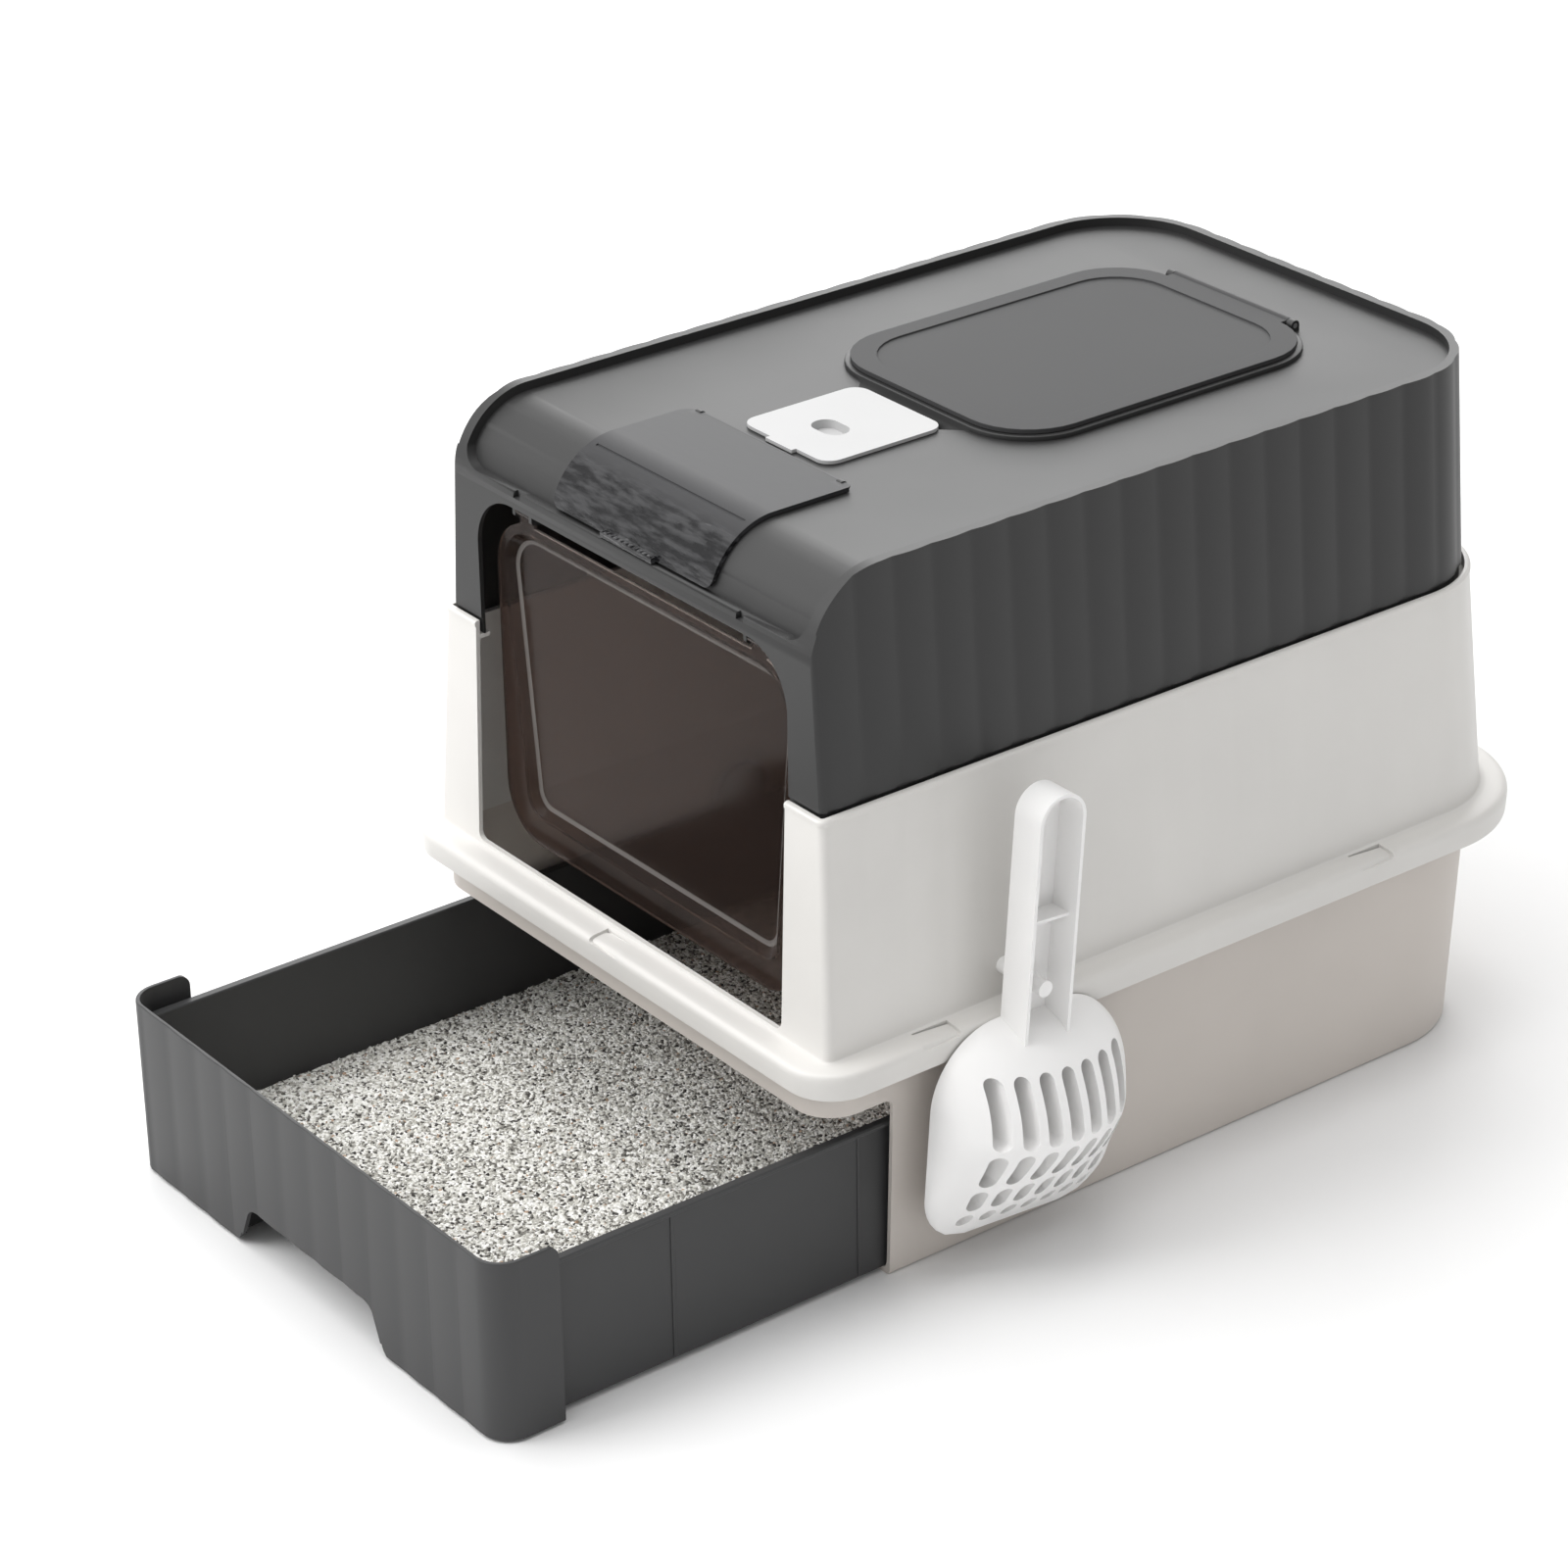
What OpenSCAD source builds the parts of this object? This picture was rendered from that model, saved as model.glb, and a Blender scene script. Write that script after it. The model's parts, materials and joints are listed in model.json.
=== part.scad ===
// Litter box with a pull-out drawer: white base tray and body, dark cover with a
// smoked door, roof hatch and window flap, an odour cartridge and a hanging scoop.
// Millimetres, +Z up. The drawer comes out toward -Y and the scoop hangs on +X.
// The origin is on the ground under the middle of the base.

/* [Base tray] */
// How far each side of the base leans in going down
base_lean_side = 5; // [4:0.5:7]
// Width of the base across its top edge
base_top_w = 349; // [347:1:350]
// How far the base's front and back lean in going down
base_lean_end = 4; // [3:0.5:6]
// Length of the base along its top edge
base_top_len = 478; // [476:1:480]
// Height of the base's top edge
base_h = 143.8; // [143:0.1:144]
// Plan radius of the base's front corners
base_front_r = 27; // [20:1:32]
// Plan radius of the base's rear corners
base_rear_r = 64; // [50:1:70]
// How far the base's lip stands out
lip_w = 5; // [3:0.5:6]
// Thickness of the base's lip
lip_t = 3; // [2:0.5:4]
// Drop of the lip's top face below the base's top edge
lip_drop = 7.8; // [7:0.1:10]
// Drop of the drawer bay's top edge below the base's top edge
bay_drop = 35.3; // [33:0.1:37]
// Depth of the drawer bay's opening behind the base's front
bay_depth = 36; // [32:1:38]
// Radius in the bay's upper rear corner
bay_r = 6; // [3:1:10]

/* [Body shell] */
// How far each side of the body's foot stands in from the base's top edge
body_step_side = 2; // [1.5:0.5:3]
// How far the body's top edge passes the base's at the front and the back
body_over_end = 1; // [0.5:0.5:2]
// Height of the body above its foot line
body_h = 128; // [124:1:132]
// Height of the body's foot line over the base's top edge
body_seat_h = 3.2; // [2.8:0.1:4]
// How far each side flares out going down
flare_side = 8.5; // [8:0.5:9]
// How far the front flares out going down
flare_front = 4.5; // [4:0.5:5]
// Plan radius of the body's front corners
body_front_r = 4; // [3:1:5]
// Plan radius of the body's rear corners
body_rear_r = 62; // [56:1:66]
// How far the rim stands out from the body's foot
rim_out = 15.5; // [15:0.5:17]
// Drop of the rim's lower edge below the base's top edge
rim_low_drop = 16.3; // [14:0.1:18]
// Drop of the rim's widest line below the base's top edge
rim_edge_drop = 5.8; // [5:0.1:7]
// Plan radius of the rim's front corners
rim_front_r = 28; // [24:1:32]
// Plan radius of the rim's rear corners
rim_rear_r = 76; // [70:1:80]
// Drop of the ledge that carries the cover below the body's top edge
ledge_drop = 8.4; // [8:0.1:10]
// Width of that ledge, measured from the body's outer face
ledge_w = 9; // [7:0.5:10]
// Width of the body's posts beside the doorway
post_w = 29; // [28:0.5:32]
// Height of the doorway's sill over the base's top edge
sill_h = 2.2; // [1.5:0.1:3]
// Radius in the doorway's lower corners
sill_r = 14; // [8:1:20]
// Length of a snap tongue in the rim
tongue_len = 30; // [24:1:34]

/* [Top cover] */
// How far each side of the cover leans in going up
cover_lean_side = 9.5; // [8:0.5:12]
// How far the cover's back leans in going up
cover_lean_end = 1.75; // [1:0.25:3]
// Height of the roof's raised edge over the cover's ledge
cover_rise = 130.4; // [128:0.1:134]
// Depth of the roof's recess inside its raised edge
roof_recess = 5; // [4:0.5:5.5]
// Width of the roof's raised edge
bead_w = 6; // [5:0.5:8]
// Side-view radius of the front shoulder
shoulder_r = 44; // [43:0.5:45]
// Drop of the small ledge over the doorway below the roof's raised edge
lintel_drop = 35.5; // [33:0.5:37]
// Height of the strip between the doorway arch and that ledge
lintel_h = 9.5; // [9:0.5:12]
// Width of the cover's posts beside the doorway arch
cover_post_w = 27.5; // [27:0.5:31]
// Radius in the arch's upper corners
arch_r = 32; // [26:1:40]

/* [Entry door] */
// Gap between the door and the arch at each side
door_side_gap = 5; // [4:0.5:8]
// Gap between the door's top edge and the arch
door_top_gap = 13; // [12.5:0.5:16]
// Gap between the door's bottom edge and the sill
door_low_gap = 4; // [3:0.5:8]
// Thickness of the door
door_t = 2.4; // [2:0.1:3]
// Radius of the door's corners
door_r = 30; // [24:1:34]
// Height of the door's hinge line over its top edge
door_hinge_rise = 8; // [7.5:0.5:8.5]
// Distance of the door's hinge line behind the doorway's face
door_set_back = 10; // [9:0.5:11]
// How far the middle of each hook passes the door's straight top edge
hook_over = 1; // [0:0.5:2]
// Radius of the door's pivot pins
door_pin_r = 2; // [1.6:0.1:2.2]

/* [Drawer] */
// How far the drawer stands out at rest
drawer_out = 206; // [0:1:206]
// How far the drawer's wings stand in from the base's sides
drawer_side_gap = 1.5; // [1.5:0.5:3]
// Gap between the drawer's front edge and the bay
drawer_top_gap = 4; // [3:0.5:8]
// Height of the drawer front's lower edge
drawer_low_z = 1.5; // [1:0.5:2.5]
// Length of the wings at the ends of the front
wing_len = 39; // [34:1:40]
// Plan radius between the front and its wings
wing_r = 11; // [6:1:14]
// Gap between the litter tray and the base at each side
tray_side_gap = 2; // [1.5:0.5:4]
// How much shorter than the base the litter tray is
tray_end_gap = 12; // [10:1:30]
// Drop of the tray's rim below the drawer's front edge
tray_rim_drop = 6.5; // [5:0.5:10]
// Height of the stop ears over the tray's rim
ear_h = 18; // [14:1:20]
// Length of a stop ear
ear_len = 36; // [30:1:40]
// Width of the finger cut-out at its top
grip_top_w = 114; // [100:1:120]
// Width of the finger cut-out at the ground
grip_low_w = 136; // [126:1:140]
// Height of the finger cut-out's top edge
grip_z = 27; // [22:1:29]
// Depth of the finger pocket behind the cut-out
grip_depth = 20; // [16:1:24]
// Height of the litter's surface
litter_z = 25; // [20:1:60]

/* [Roof pieces] */
// Width of the hatch lid
hatch_w = 164; // [156:1:168]
// Length of the hatch lid
hatch_len = 216; // [206:1:218]
// Gap between the white plate and the hatch lid
hatch_gap = 11; // [8:1:14]
// Corner radius of the hatch lid
hatch_r = 38; // [30:1:42]
// Width of the hatch's rim round its clear hole
hatch_frame_w = 12; // [11:0.5:16]
// Radius of the hatch's hinge pin
hatch_pin_r = 1.5; // [1.2:0.1:1.6]
// Length of the hatch's hinge barrel
hatch_barrel_len = 92; // [80:1:96]
// Width of the window flap
flap_w = 136; // [128:1:138]
// Length of the flap's flat part from the shoulder to its hinge line
flap_flat_len = 48.95; // [48:0.05:50]
// Radius of the flap's hinge pin
flap_pin_r = 1.2; // [1:0.1:1.3]
// Width of the flap beyond the window at each side
window_side = 14; // [14:0.5:20]
// Width of the white plate
plate_w = 73; // [68:1:76]
// Length of the white plate
plate_len = 78; // [72:1:80]
// Gap between the flap's hinge line and the plate
plate_gap = 9; // [8:0.5:10]
// Width of the odour cup
cup_w = 56; // [48:1:60]
// Length of the odour cup
cup_len = 60; // [52:1:64]
// Depth of the odour cup below the roof
cup_depth = 26; // [20:1:30]

/* [Scoop] */
// Sideways lean of the hanging scoop in degrees
scoop_lean = 4.2; // [0:0.1:8]
// Distance of the scoop's handle behind the body's front
scoop_set = 108; // [96:1:130]
// Drop of the handle's foot below the rim's lower edge
scoop_drop = 1.5; // [0:0.5:6]
// Width of the scoop's handle
handle_w = 30; // [26:1:34]
// Depth of the handle's channel
handle_d = 20; // [16:1:22]
// Length of the handle above its foot
handle_len = 144; // [130:1:150]
// Width of the bowl
bowl_w = 120; // [116:1:124]
// Height of the bowl's top edge above the handle's foot
bowl_rise = 16; // [12:1:20]
// Length of the bowl
bowl_len = 122; // [118:1:124]
// Depth of the bowl
bowl_d = 44; // [40:1:48]
// Radius of the peg that carries the scoop
peg_r = 4.5; // [3.5:0.1:5]

/* [Hidden] */
// Moulded wall thicknesses and small gaps
wall = 2.5;
thin = 2;
sheet = 0.01;
gap = 0.3;
wall_gap = 0.5;
seat_gap = 0.2;
pin_clear = 0.06;
over = 5;
least_r = 1;
step_r = 9;
arc_steps = 8;
$fn = 48;

// Base tray outlines as width, front, back, front radius, rear radius and height
base_floor_w = base_top_w - 2 * base_lean_side;
base_floor_len = base_top_len - 2 * base_lean_end;
lip_z = base_h - lip_drop;
bay_h = base_h - bay_drop;
base_low = [base_floor_w, -base_floor_len / 2, base_floor_len / 2, base_front_r, base_rear_r, 0];
base_top = [base_top_w, -base_top_len / 2, base_top_len / 2, base_front_r, base_rear_r, base_h];
bay_y = -base_top_len / 2 + bay_depth;

// Body shell outlines
body_foot_w = base_top_w - 2 * body_step_side;
body_top_w = body_foot_w - 2 * flare_side;
body_len = base_top_len + 2 * body_over_end;
body_foot_z = base_h + body_seat_h;
body_top_z = body_foot_z + body_h;
ledge_z = body_top_z - ledge_drop;
rim_low_z = base_h - rim_low_drop;
rim_edge_z = base_h - rim_edge_drop;
door_gap_w = body_top_w - 2 * post_w;
sill_z = base_h + sill_h;
body_front = -body_len / 2;
body_back = body_len / 2;
foot_front = body_front - flare_front;
foot_back = body_back + flare_side;
body_top = [body_top_w, body_front, body_back, body_front_r, body_rear_r, body_top_z];
body_foot = [body_foot_w, foot_front, foot_back, body_front_r, body_rear_r, body_foot_z];
rim_edge = [body_foot_w + 2 * rim_out, foot_front - rim_out, foot_back + rim_out,
    rim_front_r, rim_rear_r, rim_edge_z];
rim_draft = 1;
rim_shoulder = 3;
rim_rise = 1;
flare_per_mm = flare_side / (body_top_z - body_foot_z);
ledge_t = 2.5;
slit = 1.3;
tongue_shares = [-0.38333, 0.25208];
tongue_y = [for (share = tongue_shares) share * body_len];
tongue_inset = 3.5;
tongue_rise = 3;
tongue_low_z = rim_low_z + tongue_inset;
tongue_top_z = body_foot_z + tongue_rise;

// Cover outlines and side profile
cover_low_w = body_top_w - 2 * wall;
cover_low_len = body_len - 2 * wall - wall_gap;
cover_low_z = ledge_z + seat_gap;
cover_top_w = cover_low_w - 2 * cover_lean_side;
cover_top_len = cover_low_len - 2 * cover_lean_end;
cover_top_z = ledge_z + cover_rise;
cover_low = [cover_low_w, -cover_low_len / 2, cover_low_len / 2, body_front_r, body_rear_r, cover_low_z];
cover_top = [cover_top_w, -cover_top_len / 2 - thin, cover_top_len / 2, body_front_r, body_rear_r, cover_top_z];
roof_z = cover_top_z - roof_recess;
ceiling_z = roof_z - wall;
front_y = -cover_low_len / 2 + gap;
shoulder_y = front_y + shoulder_r;
shoulder_z = cover_top_z - shoulder_r;
recess_r = shoulder_r - roof_recess;
recess_back_r = 54;
lintel_z = cover_top_z - lintel_drop;
arch_z = lintel_z - lintel_h;
arch_w = cover_low_w - 2 * cover_post_w;
notch_inset = 38;
notch_x = arch_w / 2 - notch_inset;
notch_w = 6;
notch_d = 3.5;

// Door places
door_w = arch_w - 2 * door_side_gap;
door_top_z = arch_z - door_top_gap;
door_low_z = sill_z + door_low_gap;
door_hinge_z = door_top_z + door_hinge_rise;
door_hinge_y = front_y + door_set_back;
hook_span = door_w - 2 * door_r + 2 * hook_over;
hook_x = hook_span / 2;
hook_w = 12;
hook_r = 4;
ear_t = 2.5;
ear_gap = 0.2;
door_bead_h = 2.2;
door_bead_w = 5;
panel_low_gap = 31;
panel_top_gap = 10;
panel_top_side = 17;
panel_low_side = 31;
panel_low_z = door_low_z + panel_low_gap;
panel_top_z = door_top_z - panel_top_gap;
panel_top_w = door_w - 2 * panel_top_side;
panel_low_w = door_w - 2 * panel_low_side;
panel_r = 18;

// Drawer places
drawer_w = base_top_w - 2 * drawer_side_gap;
drawer_top_z = bay_h - drawer_top_gap;
tray_w = base_floor_w - 2 * wall - 2 * tray_side_gap;
tray_len = base_top_len - tray_end_gap;
tray_rim_z = drawer_top_z - tray_rim_drop;
drawer_front_y = -base_top_len / 2 - wall - thin - drawer_out;
tray_front_y = drawer_front_y + wall;
tray_back_y = tray_front_y + tray_len;
tray_low_z = wall + seat_gap;
tray_r = 12;
tray_back_r = 58;
tray_plan = [tray_w, tray_front_y - thin, tray_back_y, tray_r, tray_back_r, 0];
tray_lip_w = 1.6;
tray_lip_h = 2.6;
ear_set = 62;
ear_rest_y = tray_back_y - ear_set;
rib_w = 2;
rib_h = 0.6;
rib_shares = [0.24034, 0.49356];
rib_y = [for (share = rib_shares) share * tray_len];
pocket_w = grip_low_w + 16;
pocket_top_z = grip_z + wall + thin;

// Roof places
flap_hinge_y = shoulder_y + flap_flat_len;
plate_y = flap_hinge_y + plate_gap + plate_len / 2;
hatch_y = plate_y + plate_len / 2 + hatch_gap + hatch_len / 2;
hatch_panel_inset = hatch_frame_w;
hatch_hole_w = hatch_w - 2 * hatch_frame_w;
hatch_hole_len = hatch_len - 2 * hatch_frame_w;
hatch_hinge_set = 6;
hatch_hinge_y = hatch_y + hatch_len / 2 + hatch_hinge_set;
hatch_rise = 2.6;
hatch_seat_z = roof_z + hatch_rise;
hatch_low_z = hatch_seat_z + seat_gap;
hatch_t = 2.6;
hatch_panel_depth = 1;
hatch_hinge_rise = 0.4;
hatch_hinge_z = hatch_low_z + hatch_hinge_rise;
hatch_barrel_r = 3;
hatch_ring_gap = 2;
hatch_ring_h = 5;
hatch_lug_w = 4.6;
hatch_lug_x = hatch_barrel_len / 2 + gap + hatch_lug_w / 2;
collar_out = 3;
flap_t = 2.4;
flap_barrel_r = 2.5;
flap_hinge_rise = 0.9;
flap_hinge_z = roof_z + flap_hinge_rise;
flap_lug_inset = 8.5;
flap_lug_x = flap_w / 2 - flap_lug_inset;
flap_lug_w = 4;
flap_low_gap = 1.7;
flap_low_z = lintel_z + flap_low_gap;
flap_inner_r = recess_r + seat_gap;
flap_outer_r = flap_inner_r + flap_t;
tab_w = 44;
tab_t = 2;
tab_len = 9;
window_w = flap_w - 2 * window_side;
window_back_gap = 9;
window_front_gap = 0.95;
window_back_y = flap_hinge_y - window_back_gap;
window_front_y = door_hinge_y + window_front_gap;
plate_t = 2;
plate_r = 9;
plate_tab_w = 22;
plate_tab_len = 3;
dish_w = 23;
dish_len = 15;
dish_r = 7.4;
dish_depth = 6;
dish_ahead = 8;
dish_y = plate_y - dish_ahead;
cup_flange = 5;
cup_flange_t = 1;
seat_depth = cup_flange_t + seat_gap;
cup_t = 1.6;
cup_slot_w = 3;
cup_slots = [-18, -9, 0, 9, 18];
sachet_h = 15;
sachet_r = 5;

// Scoop places
scoop_y = body_front + scoop_set;
scoop_z = rim_low_z - scoop_drop;
scoop_gap = 1.2;
scoop_x = body_foot_w / 2 + rim_out + scoop_gap;
scoop_t = 2;
peg_u = 34;
peg_out = 16;
peg_clear = 0.08;
bowl_top_r = 44;
bowl_low_r = 28;
bowl_edge_w = 18;
edge_steps = 5;
bowl_depth_shares = [0, 0.28, 0.45, 0.59, 0.73, 0.84, 0.93, 0.985, 1, 0.95, 0.86, 0.73, 0.53, 0.33, 0];
bowl_length_shares = [0, 0.03, 0.066, 0.105, 0.17, 0.246, 0.325, 0.4, 0.45, 0.51, 0.57, 0.64, 0.75, 0.86, 1];
web_u = [72];
web_t = 1.6;
slot_w = 7.5;
slot_pitch = 13.4;
slot_columns = 3;
slot_rows = [[0, 31], [-35, 24], [-62, 17], [-82, 10]];

// Points of an arc about (cx, cy)
function arc_points(cx, cy, r, from, to) =
    [for (i = [0 : arc_steps]) let (a = from + (to - from) * i / arc_steps)
        [cx + r * cos(a), cy + r * sin(a)]];

// Rounded oblong seen from above: width, front, back, front radius, rear radius
function plan_points(p) = concat(
    arc_points(p[0] / 2 - p[4], p[2] - p[4], p[4], 0, 90),
    arc_points(-p[0] / 2 + p[4], p[2] - p[4], p[4], 90, 180),
    arc_points(-p[0] / 2 + p[3], p[1] + p[3], p[3], 180, 270),
    arc_points(p[0] / 2 - p[3], p[1] + p[3], p[3], 270, 360));

// The same outline drawn in by t, or moved to height z
function drawn_in(p, t) = [p[0] - 2 * t, p[1] + t, p[2] - t,
    max(p[3] - t, least_r), max(p[4] - t, least_r), p[5]];
function at_height(p, z) = [p[0], p[1], p[2], p[3], p[4], z];

// Oblong centred on (0, y)
function oblong(w, len, y, r) = [w, y - len / 2, y + len / 2, r, r, 0];

module slab(p, low, high) {
    translate([0, 0, low])
        linear_extrude(high - low)
            polygon(plan_points(p));
}

// Smooth wall between two outlines
module loft(p, q) {
    hull() {
        slab(p, p[5], p[5] + sheet);
        slab(q, q[5] - sheet, q[5]);
    }
}

// Extrudes a front-view outline (X, Z) along Y
module front_view(from, to) {
    translate([0, to, 0])
        rotate([90, 0, 0])
            linear_extrude(to - from)
                children();
}

// Extrudes a side-view outline (Y, Z) along X, centred
module side_view(w) {
    rotate([90, 0, 90])
        linear_extrude(w, center = true)
            children();
}

module rod_x(r, len) {
    rotate([0, 90, 0])
        cylinder(r = r, h = len, center = true);
}

// Side-view outline of the roof with its rounded front shoulder
module roof_profile(r, low) {
    back = cover_low_len / 2 + over;
    polygon(concat(
        [[shoulder_y - r, low], [back, low], [back, shoulder_z + r]],
        arc_points(shoulder_y, shoulder_z, r, 90, 180)));
}

module base_tray() {
    lip = drawn_in(base_top, -lip_w);
    bay_front = -base_top_len / 2 - lip_w - over;
    color("gainsboro")
    difference() {
        union() {
            loft(base_low, base_top);
            slab(lip, lip_z - lip_t, lip_z);
        }
        loft(at_height(drawn_in(base_low, wall), wall), at_height(drawn_in(base_top, wall), base_h + over));
        side_view(base_top_w + 2 * over)
            polygon(concat(
                [[bay_front, -over], [bay_y, -over]],
                arc_points(bay_y - bay_r, bay_h - bay_r, bay_r, 0, 90),
                [[bay_front, bay_h]]));
    }
}

// Slits round one snap tongue, drawn for the +X side of the rim
module tongue_slits(edge_x) {
    rim_x = edge_x + over;
    inner_x = edge_x - rim_out + lip_w;
    translate([inner_x, tongue_len / 2 - slit, tongue_low_z])
        cube([rim_x - inner_x, slit, tongue_top_z - tongue_low_z]);
    translate([edge_x - over, -tongue_len / 2, tongue_low_z])
        cube([2 * over, tongue_len, slit]);
    translate([edge_x - over, -tongue_len / 2, rim_edge_z - slit])
        cube([slit, tongue_len, tongue_top_z - rim_edge_z + slit]);
}

module body_shell() {
    seat_z = base_h + seat_gap;
    cabin_foot = at_height(drawn_in(body_foot, wall), seat_z + wall);
    cabin_top = at_height(drawn_in(body_top, wall), body_top_z + sheet);
    rim_low = at_height(drawn_in(rim_edge, rim_draft), rim_low_z);
    rim_top = at_height(drawn_in(body_foot, -rim_shoulder), body_foot_z + rim_rise);
    half_gap = door_gap_w / 2;
    rim_half = body_foot_w / 2 + rim_out;
    color("white")
    difference() {
        union() {
            loft(body_foot, body_top);
            hull() {
                slab(rim_low, rim_low_z, rim_low_z + sheet);
                slab(rim_edge, rim_edge_z, rim_edge_z + sheet);
                slab(rim_top, body_foot_z + rim_rise - sheet, body_foot_z + rim_rise);
            }
        }
        // Cabin above and below the ledge that carries the cover
        difference() {
            loft(cabin_foot, cabin_top);
            difference() {
                slab(drawn_in(body_top, -over), ledge_z - ledge_t, ledge_z);
                slab(drawn_in(body_top, ledge_w), ledge_z - wall - over, ledge_z + over);
            }
        }
        // Hollow under the rim, which drops over the base's lip
        hull() {
            slab(drawn_in(rim_low, wall), rim_low_z - over, rim_low_z);
            slab(drawn_in(rim_edge, wall), rim_edge_z - wall, rim_edge_z - thin);
            slab(drawn_in(body_foot, -rim_shoulder), seat_z - sheet, seat_z);
        }
        // Clear way down through the ring that sits on the base's top edge
        slab(drawn_in(base_top, wall), seat_z - over, seat_z + wall + over);
        // Doorway, open at the top
        front_view(foot_front - over, body_front + step_r + over)
            polygon(concat(
                [[half_gap, body_top_z + over], [-half_gap, body_top_z + over]],
                arc_points(-half_gap + sill_r, sill_z + sill_r, sill_r, 180, 270),
                arc_points(half_gap - sill_r, sill_z + sill_r, sill_r, 270, 360)));
        // Snap tongues: two on each side, one in front and one behind
        for (side = [0, 180], y = tongue_y)
            rotate([0, 0, side])
                translate([0, side == 0 ? y : -y, 0])
                    tongue_slits(rim_half);
        rotate([0, 0, -90])
            tongue_slits(-foot_front + rim_out);
        rotate([0, 0, 90])
            tongue_slits(foot_back + rim_out);
        scoop_frame()
            translate([0, 0, peg_u])
                rod_x(peg_r, body_foot_w / 2);
    }
}

module top_cover() {
    arch_half = arch_w / 2;
    roof_plan = drawn_in([cover_top_w, front_y - over, cover_top_len / 2,
        body_front_r, recess_back_r + bead_w, 0], bead_w);
    color("dimgray")
    difference() {
        union() {
            difference() {
                intersection() {
                    loft(cover_low, cover_top);
                    side_view(cover_low_w + over)
                        roof_profile(shoulder_r, cover_low_z - over);
                }
                intersection() {
                    loft(at_height(drawn_in(cover_low, wall), cover_low_z - sheet),
                        at_height(drawn_in(cover_top, wall), cover_top_z));
                    side_view(cover_low_w) {
                        roof_profile(recess_r - wall, cover_low_z - over);
                        translate([front_y + wall, cover_low_z - over])
                            square([shoulder_r, shoulder_z - cover_low_z + over]);
                    }
                }
                // Roof recess, open over the doorway's small ledge
                difference() {
                    slab(roof_plan, lintel_z, cover_top_z + over);
                    side_view(cover_low_w + over)
                        roof_profile(recess_r, cover_low_z - over);
                }
            }
            door_ears();
            hinge_lugs(flap_lug_x, flap_lug_w, flap_hinge_y, flap_hinge_z, flap_barrel_r);
            slab(oblong(hatch_w + 2 * collar_out, hatch_len + 2 * collar_out, hatch_y, hatch_r + collar_out),
                roof_z - wall / 2, hatch_seat_z);
            hinge_lugs(hatch_lug_x, hatch_lug_w, hatch_hinge_y, hatch_hinge_z, hatch_barrel_r);
        }
        // Doorway arch
        front_view(front_y - over, front_y + wall + thin)
            polygon(concat(
                [[-arch_half, cover_low_z - over], [arch_half, cover_low_z - over]],
                arc_points(arch_half - arch_r, arch_z - arch_r, arch_r, 0, 90),
                arc_points(-arch_half + arch_r, arch_z - arch_r, arch_r, 90, 180)));
        // Hatch hole, window under the flap, and the odour cup's hole and seat
        slab(oblong(hatch_hole_w, hatch_hole_len, hatch_y, hatch_r - hatch_panel_inset),
            ceiling_z - over, hatch_seat_z + over);
        translate([0, hatch_hinge_y, hatch_hinge_z])
            rod_x(hatch_barrel_r + gap, hatch_barrel_len + 2 * gap);
        translate([0, hatch_hinge_y, hatch_hinge_z])
            rod_x(hatch_pin_r + pin_clear / 2, hatch_barrel_len * 2);
        for (s = [-1, 1])
            translate([s * notch_x - notch_w / 2, front_y - over, lintel_z - notch_d])
                cube([notch_w, over + notch_d, 2 * notch_d]);
        translate([-window_w / 2, window_front_y, lintel_z])
            cube([window_w, window_back_y - window_front_y, roof_z]);
        slab(oblong(cup_w + 2 * gap, cup_len + 2 * gap, plate_y, sachet_r), ceiling_z - over, roof_z + over);
        slab(oblong(cup_w + 2 * cup_flange + 2 * gap, cup_len + 2 * cup_flange + 2 * gap, plate_y, sachet_r),
            roof_z - seat_depth, roof_z + over);
        // Groove for the flap's barrel, and the two pins' bores
        intersection() {
            translate([0, flap_hinge_y, flap_hinge_z])
                rod_x(flap_barrel_r + gap, flap_w + 2 * gap);
            union() {
                cube([2 * flap_lug_x - flap_lug_w - sheet, body_len, cover_top_z * 2], center = true);
                for (s = [-1, 1])
                    translate([s * (flap_lug_x + flap_lug_w / 2 + over), flap_hinge_y, flap_hinge_z])
                        cube([2 * over - sheet, step_r, step_r], center = true);
            }
        }
        translate([0, flap_hinge_y, flap_hinge_z])
            rod_x(flap_pin_r + pin_clear / 2, flap_w + 2 * gap);
        translate([0, door_hinge_y, door_hinge_z])
            rod_x(door_pin_r + pin_clear / 2, hook_span + 2 * hook_w);
    }
}

// Upright ears under the lintel that carry the door's two pivot pins
module door_ears() {
    ear_x = hook_w / 2 + ear_gap + ear_t / 2;
    intersection() {
        side_view(cover_top_w)
            roof_profile(recess_r - thin / 2, cover_low_z);
        for (s = [-1, 1], e = [-1, 1])
            translate([s * hook_x + e * ear_x, door_hinge_y, door_hinge_z]) {
                rod_x(hook_r + thin / 2, ear_t);
                translate([0, 0, shoulder_r / 2])
                    cube([ear_t, 2 * hook_r + thin, shoulder_r], center = true);
            }
    }
}

// Pair of short lugs standing on the roof at +x and -x
module hinge_lugs(x, w, y, z, r) {
    for (s = [-1, 1])
        translate([s * x, y, z]) {
            rod_x(r, w);
            translate([0, 0, (roof_z - wall / 2 - z) / 2])
                cube([w, 2 * r, z - roof_z + wall / 2], center = true);
        }
}

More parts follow.
